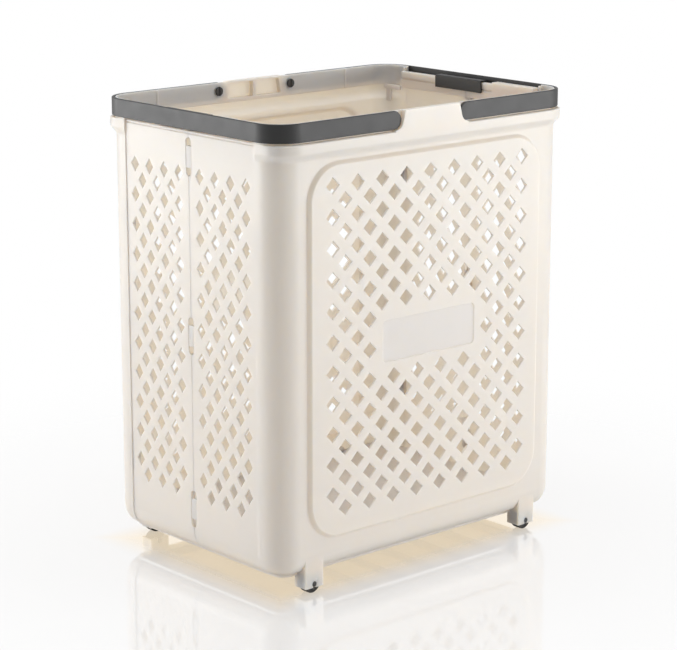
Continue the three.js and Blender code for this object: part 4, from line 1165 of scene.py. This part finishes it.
def model_leaf(plan, scene, side):
    """A right-hand leaf; side is -1 for the front one, which has the block, and 1 for the back one."""
    walls, panel, leaf = scene.basket_walls, scene.basket_panel, scene.basket_leaf
    seam, middle = side * (plan.seam_y - SEAM_HALF), side * SEAM_HALF
    start, end = min(seam, middle), max(seam, middle)
    piece = begin(("right_front" if side < 0 else "right_back") + "_leaf_moulding")
    outline = [(plan.half_width + d, start, z) for d, z in leaf_section(plan, walls, leaf)]
    add_prism(outline, (0, end - start, 0))
    outer = plan.half_width - leaf.inset
    at_end = lambda place: near(place.x, outer) and (near(place.y, start) or near(place.y, end))
    flat = lambda edge: near(edge.verts[0].co.y, edge.verts[1].co.y)
    choose("edges", lambda edge: flat(edge) and every(edge, at_end))
    bpy.ops.mesh.bevel(offset=walls.seam_ease, segments=2, affect="EDGES")
    columns = sorted({u for u, _ in leaf_spots(plan, panel, side)})
    large = lambda face: abs(face.normal.x) > UPRIGHT_SHARE and face.calc_area() > LARGE_FACE
    slice_faces(large, [(0, u + OVERRUN, 0) for u in columns], (0, 1, 0))
    mend()
    tool = begin("tool")
    add_leaf_parts(plan, scene, side, start, end)
    combine(piece, tool, "UNION")
    tool = begin("tool")
    add_fold_cuts(plan, walls, leaf)
    combine(piece, tool, "DIFFERENCE", overlaps=False)
    tool = begin("tool")
    add_fold_parts(plan, walls, leaf, side)
    combine(piece, tool, "UNION")
    tool = begin("tool")
    add_leaf_bores(plan, leaf, side)
    combine(piece, tool, "DIFFERENCE", overlaps=False)
    tool = begin("tool")
    sizes = (panel.leaf_hole_width, panel.hole_height)
    low = -leaf.inset - walls.wall - OVERRUN
    spots = leaf_spots(plan, panel, side)
    add_cutters(side_at(plan), spots, *sizes, low, -leaf.inset, panel.hole_edge)
    combine(piece, tool, "DIFFERENCE", overlaps=False)
    return piece


def band_section(plan, handle):
    """Section of a handle's band as offset and height, starting half way up its outer face."""
    inner, outer = plan.band_inner, plan.band_outer
    low, high = plan.band_bottom, plan.band_bottom + handle.band_height
    small = handle.band_edge / 3
    return eased([
        (outer, plan.pivot_z, 0),
        (outer, high, handle.band_edge),
        (inner, high, small),
        (inner, plan.pivot_z, 0),
        (inner, low, small),
        (outer, low, handle.band_edge),
    ])


def model_handle(plan, handle):
    """The right-hand handle: its section drawn round the rim, with full-round ends at the pivots."""
    piece = begin("right_handle_moulding")
    section = band_section(plan, handle)
    x = handle.pivot_offset
    draw([(x, -plan.half_depth - d, z) for d, z in section])
    extrude((plan.corner_x - x, 0, 0))
    turn(CORNER, QUARTER, (plan.corner_x, -plan.corner_y, 0), (0, 0, 1))
    extrude((0, 2 * plan.corner_y, 0))
    turn(CORNER, QUARTER, (plan.corner_x, plan.corner_y, 0), (0, 0, 1))
    extrude((x - plan.corner_x, 0, 0))
    upper = [(d, z) for d, z in section if z > plan.pivot_z - SAME]
    for side in (-1, 1):
        draw([(x, side * (plan.half_depth + d), z) for d, z in upper], closed=False)
        turn(2 * CORNER, -2 * QUARTER, (x, 0, plan.pivot_z), (0, 1, 0))
    edit(piece)
    mend()
    tool = begin("tool")
    inner = plan.half_depth + plan.band_inner - OVERRUN
    outer = plan.half_depth + plan.band_outer - handle.pin_skin
    for side in (-1, 1):
        start, end = (x, side * inner, plan.pivot_z), (x, side * outer, plan.pivot_z)
        add_rod(handle.shank_radius + FIT, start, end, FINE_SIDES)
    combine(piece, tool, "DIFFERENCE", overlaps=False)
    return piece


def model_snap_pin(plan, handle):
    """The snap pin at the front of the right-hand handle, with the slot cut in its head."""
    piece = begin("right_handle_front_pin_turned")
    head_front = -plan.half_depth - plan.rim_inner + FIT
    head_back = head_front + handle.head_thickness
    tip = -plan.half_depth - plan.band_outer + handle.pin_skin + FIT
    profile = eased([
        (0, tip, 0),
        (handle.shank_radius, tip, handle.shank_radius / 6),
        (handle.shank_radius, head_front, 0),
        (handle.head_radius, head_front, handle.head_seat_ease),
        (handle.head_radius, head_back, handle.head_ease),
        (0, head_back, 0),
    ])
    add_turned(profile, handle.pivot_offset, plan.pivot_z, PIN_STEPS)
    edit(piece)
    mend()
    tool = begin("tool")
    x, half, reach = handle.pivot_offset, handle.slot_width / 2, handle.head_radius + OVERRUN
    low = (x - half, head_back - handle.slot_depth, plan.pivot_z - reach)
    add_box(low, (x + half, head_back + OVERRUN, plan.pivot_z + reach))
    combine(piece, tool, "DIFFERENCE", overlaps=False)
    return piece


def model_sleeve(plan, leaf):
    """The right-hand lock sleeve: a channel over both rails, with a bead that runs in the groove."""
    wall = leaf.sleeve_wall
    inner, outer = plan.sleeve_inner_x, plan.sleeve_outer_x
    bottom = plan.rail_top - leaf.sleeve_height
    bead = inner + wall + leaf.groove_depth
    outline = eased([
        (inner, bottom, wall / 4),
        (inner + wall, bottom, wall / 4),
        (inner + wall, plan.groove + FIT, 0),
        (bead, plan.groove + FIT, FIT),
        (bead, plan.groove + leaf.groove_height - FIT, FIT),
        (inner + wall, plan.groove + leaf.groove_height - FIT, 0),
        (inner + wall, plan.rail_top + FIT, 0),
        (outer - wall, plan.rail_top + FIT, 0),
        (outer - wall, bottom, wall / 4),
        (outer, bottom, wall / 4),
        (outer, plan.sleeve_top, wall / 2),
        (inner, plan.sleeve_top, wall / 2),
    ])
    piece = begin("right_lock_sleeve_moulding")
    start, end = -leaf.sleeve_lead, leaf.sleeve_length - leaf.sleeve_lead
    add_prism([(x, start, z) for x, z in outline], (0, end - start, 0))
    at_end = lambda place: near(place.y, start) or near(place.y, end)
    flat = lambda edge: near(edge.verts[0].co.y, edge.verts[1].co.y)
    choose("edges", lambda edge: flat(edge) and every(edge, at_end))
    bpy.ops.mesh.bevel(offset=leaf.sleeve_ease, segments=1, affect="EDGES")
    return piece


def model_base_panel(plan, scene):
    """The base panel: a plate with eased edges on a ribbed skirt, with the knuckles of its hinges."""
    walls, base, leaf = scene.basket_walls, scene.basket_base, scene.basket_leaf
    inset = walls.tuck + walls.wall - base.overlap
    skirt_x, skirt_y = plan.half_width - inset, plan.half_depth - inset
    skirt_radius = walls.corner_radius - inset
    plate_x, plate_y = skirt_x + base.side_reach, skirt_y + base.end_reach
    under = base.top - base.plate
    drop = math.cos(math.asin(base.overlap / walls.tuck))
    bottom = walls.tuck_top - (walls.tuck_top - plan.lip_top - walls.wall) * drop + FIT
    piece = begin("base_panel_moulding")
    add_plate((0, 0, under), 2 * plate_x, 2 * plate_y, base.plate_radius, (0, 0, 0), CORNER)
    extrude((0, 0, base.plate))
    choose("edges", lambda edge: every(edge, lambda place: near(place.z, base.top)))
    bpy.ops.mesh.bevel(offset=base.plate / 3, segments=FILLET, affect="EDGES")
    mend()
    tool = begin("tool")
    add_plate((0, 0, bottom), 2 * skirt_x, 2 * skirt_y, skirt_radius, (0, 0, 0), CORNER)
    extrude((0, 0, under + base.plate / 2 - bottom))
    combine(piece, tool, "UNION")
    tool = begin("tool")
    rib = base.rib
    hollow_x, hollow_y, hollow_radius = skirt_x - rib, skirt_y - rib, skirt_radius - rib
    add_plate((0, 0, bottom - OVERRUN), 2 * hollow_x, 2 * hollow_y, hollow_radius, (0, 0, 0), CORNER)
    extrude((0, 0, under - bottom + OVERRUN))
    combine(piece, tool, "DIFFERENCE")
    tool = begin("tool")
    for i in range(1, BASE_RIBS + 1):
        x = skirt_x * (2 * i / (BASE_RIBS + 1) - 1)
        reach = skirt_y - rib / 2
        add_box((x - rib / 2, -reach, bottom), (x + rib / 2, reach, under + base.plate / 2))
    combine(piece, tool, "UNION")
    tool = begin("tool")
    notch = base.knuckle_length / 2 + FIT + base.ear_length + base.notch_clearance
    notch_front = plan.base_hinge_y - base.hinge_radius - base.notch_clearance
    for x in (-base.hinge_offset, base.hinge_offset):
        low = (x - notch, notch_front, bottom - OVERRUN)
        add_box(low, (x + notch, plan.half_depth, base.top + OVERRUN))
    combine(piece, tool, "DIFFERENCE")
    tool = begin("tool")
    half = base.knuckle_length / 2
    for x in (-base.hinge_offset, base.hinge_offset):
        y, z = plan.base_hinge_y, plan.base_hinge_z
        add_rod(base.hinge_radius, (x - half, y, z), (x + half, y, z), FINE_SIDES)
        add_box((x - half, notch_front - OVERRUN, under), (x + half, y, base.top))
    combine(piece, tool, "UNION")
    tool = begin("tool")
    add_base_bores(plan, base, leaf, plan.base_hinge_y)
    combine(piece, tool, "DIFFERENCE")
    return piece


def model_wheel(plan, base):
    """The front right wheel: a tread with a groove, a dished side and a hub."""
    half = base.wheel_width / 2
    bore, radius = base.axle_radius + FIT, base.wheel_radius
    hub, dish, rim = radius * HUB_SHARE, radius * DISH_SHARE, radius * RIM_SHARE
    depth = base.wheel_width / 12
    ease, rim_ease = base.wheel_ease, base.wheel_rim_ease
    profile = eased([
        (bore, -half, 0),
        (hub, -half, ease),
        (dish, -half + depth, ease),
        (rim, -half + depth, ease),
        (rim + depth, -half, rim_ease),
        (radius, -half, base.tread_ease),
        (radius, -depth / 2, 0),
        (radius - depth / 2, -depth / 4, 0),
        (radius - depth / 2, depth / 4, 0),
        (radius, depth / 2, 0),
        (radius, half, base.tread_ease),
        (rim + depth, half, rim_ease),
        (rim, half - depth, ease),
        (dish, half - depth, ease),
        (hub, half, ease),
        (bore, half, 0),
    ])
    piece = begin("front_right_wheel_turned")
    profile.append(profile[0])
    add_turned([(r, y - plan.wheel_y) for r, y in profile], plan.foot_x, base.wheel_radius, WHEEL_STEPS)
    return piece


def model_axle(plan, base):
    """The front right axle, with eased ends."""
    half = base.foot_depth / 2 - base.axle_inset
    radius = base.axle_radius
    ease = radius / 6
    profile = eased([(0, -half, 0), (radius, -half, ease), (radius, half, ease), (0, half, 0)])
    piece = begin("front_right_axle_turned")
    add_turned([(r, y - plan.wheel_y) for r, y in profile], plan.foot_x, base.wheel_radius, AXLE_STEPS)
    return piece


class Shade:
    """An output in a node tree. Arithmetic on outputs adds the nodes that work it out."""

    def __init__(self, tree, socket=None):
        self.tree = tree
        self.socket = socket

    def node(self, kind, inputs, output=0, **settings):
        """Adds a node, sets it, joins or fills its inputs, and gives one of its outputs."""
        made = self.tree.nodes.new(kind)
        for name, value in settings.items():
            setattr(made, name, value)
        for name, value in inputs.items():
            if isinstance(value, Shade):
                self.tree.links.new(value.socket, made.inputs[name])
            else:
                made.inputs[name].default_value = value
        return Shade(self.tree, made.outputs[output])

    def math(self, operation, *values):
        """A Math node's value."""
        return self.node("ShaderNodeMath", dict(enumerate(values)), operation=operation)

    def __add__(self, other):
        return self.math("ADD", self, other)

    def __radd__(self, other):
        return self.math("ADD", other, self)

    def __sub__(self, other):
        return self.math("SUBTRACT", self, other)

    def __rsub__(self, other):
        return self.math("SUBTRACT", other, self)

    def __mul__(self, other):
        return self.math("MULTIPLY", self, other)

    def __rmul__(self, other):
        return self.math("MULTIPLY", other, self)

    def __truediv__(self, other):
        return self.math("DIVIDE", self, other)

    def __rtruediv__(self, other):
        return self.math("DIVIDE", other, self)

    def parts(self):
        """The three numbers of this vector."""
        first = self.node("ShaderNodeSeparateXYZ", {0: self})
        return [Shade(self.tree, socket) for socket in first.socket.node.outputs]

    def within(self, low, high):
        """This value as a share from 0 at low to 1 at high, with soft ends."""
        return self.node(
            "ShaderNodeMapRange",
            {"Value": self, "From Min": low, "From Max": high},
            interpolation_type="SMOOTHSTEP",
        )

    def noise(self, scale, detail=2.0, roughness=0.5):
        """Noise over this vector."""
        inputs = {"Vector": self, "Scale": scale, "Detail": detail, "Roughness": roughness}
        return self.node("ShaderNodeTexNoise", inputs)

    def mix(self, first, second):
        """Colour between two, with this value as the share of the second."""
        inputs = {"Factor": self, "A": first, "B": second}
        made = self.node("ShaderNodeMix", {}, output=2, data_type="RGBA")
        mixer = made.socket.node
        for name, value in inputs.items():
            socket = next(s for s in mixer.inputs if s.name == name and s.enabled)
            if isinstance(value, Shade):
                self.tree.links.new(value.socket, socket)
            else:
                socket.default_value = value
        return made


def place_of(tree):
    """Object coordinates."""
    return Shade(tree).node("ShaderNodeTexCoord", {}, output="Object")


def rgba(value):
    """A colour with full alpha."""
    return (*value, 1.0)


def make_material(name, base, roughness, bump=None, constants=()):
    """A plastic; base, roughness and bump are functions of the place that give a value or an output."""
    material = bpy.data.materials.new(name)
    material.use_nodes = True
    tree = material.node_tree
    shader = next(n for n in tree.nodes if n.type == "BSDF_PRINCIPLED")
    place = place_of(tree)
    tree.links.new(base(place).socket, shader.inputs["Base Color"])
    tree.links.new(roughness(place).socket, shader.inputs["Roughness"])
    if bump:
        height, distance, strength = bump(place)
        inputs = {"Height": height, "Distance": distance, "Strength": strength}
        tree.links.new(Shade(tree).node("ShaderNodeBump", inputs).socket, shader.inputs["Normal"])
    for socket, value in constants:
        shader.inputs[socket].default_value = value
    return material


def clouds(first, second, share, scale, detail):
    """Base colour that drifts from the first colour towards the second by a share."""
    return lambda place: (share * place.noise(scale, detail)).mix(rgba(first), rgba(second))


def satin(low, high, scale):
    """Roughness that drifts between two values."""
    return lambda place: low + (high - low) * place.noise(scale, 3.0)


def grain(scale, distance, strength):
    """Fine grain of a moulded surface."""
    return lambda place: (place.noise(scale, 2.0), distance, strength)


def basket_material(kind):
    """The material of a kind, made at its first use."""
    if kind in bpy.data.materials:
        return bpy.data.materials[kind]
    colours = bpy.context.scene.basket_colours
    if kind == "ivory_moulding":
        cloudy = clouds(colours.ivory, colours.ivory_deep, 0.45, 9.0, 3.0)
        radius = ("Subsurface Radius", (1.0, 0.86, 0.68))
        constants = (("Subsurface Weight", 1.0), ("Subsurface Scale", 0.012), radius)
        return make_material(kind, cloudy, satin(0.34, 0.46, 28.0), grain(900.0, 0.00004, 0.25), constants)
    if kind == "charcoal_moulding":
        shade = clouds(colours.charcoal, colours.sleeve_grey, 0.5, 40.0, 4.0)
        return make_material(kind, shade, satin(0.42, 0.56, 60.0), grain(1400.0, 0.00006, 0.4))
    if kind == "sleeve_moulding":
        shade = clouds(colours.sleeve_grey, colours.black, 0.5, 50.0, 3.0)
        return make_material(kind, shade, satin(0.4, 0.52, 60.0), grain(1400.0, 0.00005, 0.35))
    if kind == "black_moulding":
        shade = clouds(colours.black, colours.tyre_worn, 0.4, 70.0, 3.0)
        return make_material(kind, shade, satin(0.4, 0.55, 70.0), grain(1600.0, 0.00004, 0.3))
    if kind == "tyre_moulding":
        patches = lambda place: place.noise(120.0, 4.0).within(0.45, 0.7)
        worn = lambda place: patches(place).mix(rgba(colours.tyre), rgba(colours.tyre_worn))
        return make_material(kind, worn, satin(0.5, 0.75, 90.0), grain(1300.0, 0.0001, 0.5))
    if kind == "pin_rod":
        shade = clouds(colours.pin, colours.ivory_deep, 0.4, 60.0, 2.0)
        return make_material(kind, shade, satin(0.35, 0.45, 60.0))
    raise ValueError(kind)


class BasketOperator:
    """What the operators share."""

    bl_options = {"REGISTER", "UNDO"}

    def execute(self, context):
        """Builds the operator's own pieces from the sizes kept in the scene."""
        self.build(Plan(context.scene), context.scene)
        clear()
        return {"FINISHED"}


class BASKET_OT_shells(BasketOperator, bpy.types.Operator):
    """Model the front and back shells"""

    bl_idname = "basket.shells"
    bl_label = "Shells"

    def build(self, plan, scene):
        front, back = model_shells(plan, scene)
        ivory = basket_material("ivory_moulding")
        dress(front, "basket", "body", ivory, "front_shell")
        dress(back, "basket", "body", ivory, "back_shell")


class BASKET_OT_leaves(BasketOperator, bpy.types.Operator):
    """Model the four side leaves"""

    bl_idname = "basket.leaves"
    bl_label = "Side leaves"

    def build(self, plan, scene):
        ivory = basket_material("ivory_moulding")
        for side, end in ((-1, "front"), (1, "back")):
            right = model_leaf(plan, scene, side)
            left = copy_of(right, f"left_{end}_leaf_moulding")
            flip_side(left)
            dress(right, "basket", "body", ivory, f"right_{end}_leaf")
            dress(left, "basket", "body", ivory, f"left_{end}_leaf")


class BASKET_OT_handles(BasketOperator, bpy.types.Operator):
    """Model the two bail handles"""

    bl_idname = "basket.handles"
    bl_label = "Handles"

    def build(self, plan, scene):
        charcoal = basket_material("charcoal_moulding")
        right = model_handle(plan, scene.basket_handle)
        left = copy_of(right, "left_handle_moulding")
        turn_round(left)
        dress(right, "handle_right", "handle", charcoal, "right_handle")
        dress(left, "handle_left", "handle", charcoal, "left_handle")


class BASKET_OT_snap_pins(BasketOperator, bpy.types.Operator):
    """Model the four slotted pins that carry the handles"""

    bl_idname = "basket.snap_pins"
    bl_label = "Snap pins"

    def build(self, plan, scene):
        black = basket_material("black_moulding")
        across = (-2 * scene.basket_handle.pivot_offset, 0, 0)
        right_front = model_snap_pin(plan, scene.basket_handle)
        left_front = copy_of(right_front, "left_handle_front_pin_turned", across)
        left_back = copy_of(right_front, "left_handle_back_pin_turned")
        right_back = copy_of(left_front, "right_handle_back_pin_turned")
        turn_round(left_back)
        turn_round(right_back)
        dress(right_front, "handle_right", "dark_trim", black, "right_handle_front_pin")
        dress(right_back, "handle_right", "dark_trim", black, "right_handle_back_pin")
        dress(left_front, "handle_left", "dark_trim", black, "left_handle_front_pin")
        dress(left_back, "handle_left", "dark_trim", black, "left_handle_back_pin")


class BASKET_OT_lock_sleeves(BasketOperator, bpy.types.Operator):
    """Model the two lock sleeves"""

    bl_idname = "basket.lock_sleeves"
    bl_label = "Lock sleeves"

    def build(self, plan, scene):
        grey = basket_material("sleeve_moulding")
        right = model_sleeve(plan, scene.basket_leaf)
        left = copy_of(right, "left_lock_sleeve_moulding")
        flip_side(left)
        dress(right, "lock_right", "dark_trim", grey, "right_lock_sleeve")
        dress(left, "lock_left", "dark_trim", grey, "left_lock_sleeve")


class BASKET_OT_base_panel(BasketOperator, bpy.types.Operator):
    """Model the base panel"""

    bl_idname = "basket.base_panel"
    bl_label = "Base panel"

    def build(self, plan, scene):
        panel = model_base_panel(plan, scene)
        dress(panel, "base", "body", basket_material("ivory_moulding"), "base_panel")


class BASKET_OT_wheels(BasketOperator, bpy.types.Operator):
    """Model the four wheels and their axles"""

    bl_idname = "basket.wheels"
    bl_label = "Wheels and axles"

    def build(self, plan, scene):
        kinds = (
            (model_wheel(plan, scene.basket_base), "wheel", "wheel", "tyre_moulding"),
            (model_axle(plan, scene.basket_base), "axle", "pin", "black_moulding"),
        )
        across = (-2 * plan.foot_x, 0, 0)
        along = (0, 2 * plan.wheel_y, 0)
        for first, part, slot, kind in kinds:
            pieces = {"front_right": first}
            pieces["front_left"] = copy_of(first, f"front_left_{part}_turned", across)
            pieces["back_right"] = copy_of(first, f"back_right_{part}_turned", along)
            pieces["back_left"] = copy_of(pieces["front_left"], f"back_left_{part}_turned", along)
            for corner, piece in pieces.items():
                body = f"wheel_{corner}" if part == "wheel" else "basket"
                dress(piece, body, slot, basket_material(kind), f"{corner}_{part}")


class BASKET_OT_hinge_pins(BasketOperator, bpy.types.Operator):
    """Model the pins of the fold hinges, the seam hinges and the base hinges"""

    bl_idname = "basket.hinge_pins"
    bl_label = "Hinge pins"

    def build(self, plan, scene):
        leaf, base = scene.basket_leaf, scene.basket_base
        rod = basket_material("pin_rod")
        reach = plan.fold_pin_reach - FIT
        low = plan.fold_levels[0]
        fold_pin = begin("right_fold_pin_lower_rod")
        add_rod(leaf.pin_radius, (plan.fold_x, 0, low - reach), (plan.fold_x, 0, low + reach), ease=FIT)
        for side, sign in (("right", 1), ("left", -1)):
            for name, level in zip(("lower", "middle", "upper"), plan.fold_levels):
                offset = ((sign - 1) * plan.fold_x, 0, level - low)
                piece = copy_of(fold_pin, f"{side}_fold_pin_{name}_rod", offset) if any(offset) else fold_pin
                dress(piece, "basket", "pin", rod, f"{side}_fold_pin_{name}")
        reach = leaf.seam_leaf_knuckle / 2 + leaf.seam_shell_knuckle - FIT
        low = plan.seam_levels[0]
        x, y = plan.seam_hinge_x, plan.seam_y
        seam_pin = begin("front_right_seam_pin_lower_rod")
        add_rod(leaf.pin_radius, (x, -y, low - reach), (x, -y, low + reach), ease=FIT)
        for end, way in (("front", 0), ("back", 2)):
            for side, across in (("right", 0), ("left", -2)):
                for name, level in zip(("lower", "upper"), plan.seam_levels):
                    offset = (across * x, way * y, level - low)
                    label = f"{end}_{side}_seam_pin_{name}"
                    piece = copy_of(seam_pin, f"{label}_rod", offset) if any(offset) else seam_pin
                    dress(piece, "basket", "pin", rod, label)
        reach = base.knuckle_length / 2 + base.ear_length
        x, y, z = base.hinge_offset, plan.base_hinge_y, plan.base_hinge_z
        base_pin = begin("base_hinge_pin_right_rod")
        add_rod(leaf.pin_radius, (x - reach, y, z), (x + reach, y, z), ease=FIT)
        other = copy_of(base_pin, "base_hinge_pin_left_rod", (-2 * x, 0, 0))
        dress(base_pin, "base", "pin", rod, "base_hinge_pin_right")
        dress(other, "base", "pin", rod, "base_hinge_pin_left")


def add_lamp(name, place, aim, power, width, height):
    """A softbox at a place, facing a point."""
    bpy.ops.object.light_add(type="AREA", location=place)
    lamp = bpy.context.object
    lamp.name = name
    lamp.rotation_euler = (Vector(aim) - Vector(place)).to_track_quat("-Z", "Y").to_euler()
    lamp.data.shape = "RECTANGLE"
    lamp.data.size, lamp.data.size_y, lamp.data.energy = width, height, power


def add_lamps(studio):
    """Two low softboxes that the front and left walls mirror to the camera, and one overhead."""
    x, y, z = studio.softbox_x, studio.softbox_y, studio.softbox_z
    aim = (0, 0, studio.softbox_aim)
    size = (studio.softbox_width, studio.softbox_height)
    add_lamp("front_softbox", (x, y, z), aim, studio.key_power, *size)
    add_lamp("left_softbox", (-x, -y, z), aim, studio.side_power, *size)
    side = studio.top_size
    add_lamp("top_softbox", (0, 0, studio.top_z), (0, 0, 0), studio.top_power, side, side)


def floor_sheet(plan, studio):
    """Pale paper: white to the camera far off, with a painted warm glow and a faint mirror image near the
    basket.
    """
    sheet = bpy.data.materials.new("floor_sheet")
    sheet.use_nodes = True
    tree = sheet.node_tree
    shader = next(n for n in tree.nodes if n.type == "BSDF_PRINCIPLED")
    shader.inputs["Specular IOR Level"].default_value = 0.0
    x, y, _ = place_of(tree).parts()
    aside_x = x.math("ABSOLUTE", x) - plan.half_width
    aside_y = y.math("ABSOLUTE", y) - plan.half_depth
    under = x.math("MAXIMUM", aside_x, aside_y).within(studio.painted_glow_reach, -studio.painted_glow_reach)
    distance = x.math("SQRT", x * x + y * y)
    away = distance.within(studio.white_start, studio.white_end)
    # Painted light: under the basket the paper is tinted warm and, to the camera, shines by itself, standing
    # in for light let through the plastic
    colour = (under * studio.painted_glow_share).mix(WHITE, rgba(studio.painted_glow_colour))
    tree.links.new(colour.socket, shader.inputs["Base Color"])
    glow = x.node("ShaderNodeEmission", {"Color": colour, "Strength": 1.0})
    camera_ray = x.node("ShaderNodeLightPath", {}, output="Is Camera Ray")
    white = studio.floor_white + (1 - studio.floor_white) * away
    share = camera_ray * (white + studio.painted_glow_white * under)
    paper = glow.node("ShaderNodeMixShader", {0: share, 1: Shade(tree, shader.outputs[0]), 2: glow})
    gloss = x.node("ShaderNodeBsdfGlossy", {"Color": WHITE, "Roughness": studio.gloss_roughness})
    close = studio.gloss_share * distance.within(studio.gloss_end, studio.gloss_start)
    surface = x.node("ShaderNodeMixShader", {0: close, 1: paper, 2: gloss})
    out = next(n for n in tree.nodes if n.type == "OUTPUT_MATERIAL")
    tree.links.new(surface.socket, out.inputs["Surface"])
    return sheet


def seen_share(tree, studio):
    """1 for rays from the camera, and for mirrored or transmitted ones that meet the backdrop."""
    path = Shade(tree).node("ShaderNodeLightPath", {}, output="Is Camera Ray")
    node = path.socket.node
    glossy, passed = (Shade(tree, node.outputs[name]) for name in ("Is Glossy Ray", "Is Transmission Ray"))
    x, y, z = Shade(tree).node("ShaderNodeTexCoord", {}, output="Generated").parts()
    straight = math.sin(-studio.azimuth) * x + math.cos(studio.azimuth) * y
    behind = straight.within(studio.behind_start, studio.behind_end)
    low = z.within(studio.backdrop_end, studio.backdrop_start)
    return path.math("MAXIMUM", path, path.math("MAXIMUM", glossy, passed) * behind * low)


def light_world(studio):
    """A world that lights evenly from all round and shows as white."""
    world = bpy.data.worlds.new("studio")
    world.use_nodes = True
    tree = world.node_tree
    tree.nodes.clear()
    light = Shade(tree).node("ShaderNodeBackground", {"Color": WHITE, "Strength": studio.fill})
    white = light.node("ShaderNodeBackground", {"Color": WHITE, "Strength": 1.0})
    both = light.node("ShaderNodeMixShader", {0: seen_share(tree, studio), 1: light, 2: white})
    out = tree.nodes.new("ShaderNodeOutputWorld")
    tree.links.new(both.socket, out.inputs["Surface"])
    return world


def add_camera(studio):
    """The camera, fitted to the photograph's view."""
    place = (studio.camera_x, studio.camera_y, studio.camera_z)
    bpy.ops.object.camera_add(location=place, rotation=(QUARTER - studio.elevation, 0, studio.azimuth))
    camera = bpy.context.object
    camera.data.lens = studio.lens
    camera.data.shift_x, camera.data.shift_y = studio.shift_x, studio.shift_y
    camera.data.clip_end = studio.floor_size
    return camera


class BASKET_OT_stage(BasketOperator, bpy.types.Operator):
    """Set up the camera, the lamps, the floor and the background"""

    bl_idname = "basket.stage"
    bl_label = "Stage"

    def build(self, plan, scene):
        studio = scene.basket_studio
        clear()
        bpy.ops.mesh.primitive_plane_add(size=studio.floor_size, location=(0, 0, 0))
        floor = bpy.context.object
        floor.name = floor.data.name = "floor"
        floor.data.materials.append(floor_sheet(plan, studio))
        scene.world = light_world(studio)
        add_lamps(studio)
        scene.camera = add_camera(studio)
        scene.view_settings.view_transform = "Standard"


BASKET_OPERATORS = (
    BASKET_OT_shells,
    BASKET_OT_leaves,
    BASKET_OT_handles,
    BASKET_OT_snap_pins,
    BASKET_OT_lock_sleeves,
    BASKET_OT_base_panel,
    BASKET_OT_wheels,
    BASKET_OT_hinge_pins,
    BASKET_OT_stage,
)
BASKET_GROUPS = {
    "basket_walls": WallSizes,
    "basket_panel": PanelSizes,
    "basket_rim": RimSizes,
    "basket_leaf": LeafSizes,
    "basket_handle": HandleSizes,
    "basket_base": BaseSizes,
    "basket_colours": BasketColours,
    "basket_studio": StudioSettings,
}


class BASKET_PT_panel(bpy.types.Panel):
    """Lists the operators of the basket"""

    bl_idname = "BASKET_PT_panel"
    bl_label = "Folding Laundry Basket"
    bl_space_type = "VIEW_3D"
    bl_region_type = "UI"
    bl_category = "Basket"

    def draw(self, context):
        for operator in BASKET_OPERATORS:
            self.layout.operator(operator.bl_idname)


def register():
    """Registers the classes and hangs the sizes on the scene."""
    for group in BASKET_GROUPS.values():
        bpy.utils.register_class(group)
    for name, group in BASKET_GROUPS.items():
        setattr(bpy.types.Scene, name, PointerProperty(type=group))
    for operator in (*BASKET_OPERATORS, BASKET_PT_panel):
        bpy.utils.register_class(operator)


def unregister():
    """Takes back what register did."""
    for operator in (BASKET_PT_panel, *reversed(BASKET_OPERATORS)):
        bpy.utils.unregister_class(operator)
    for name, group in BASKET_GROUPS.items():
        delattr(bpy.types.Scene, name)
        bpy.utils.unregister_class(group)


def main():
    """Registers the classes and builds everything."""
    register()
    for operator in BASKET_OPERATORS:
        group, name = operator.bl_idname.split(".")
        getattr(getattr(bpy.ops, group), name)()


if __name__ == "__main__":
    main()
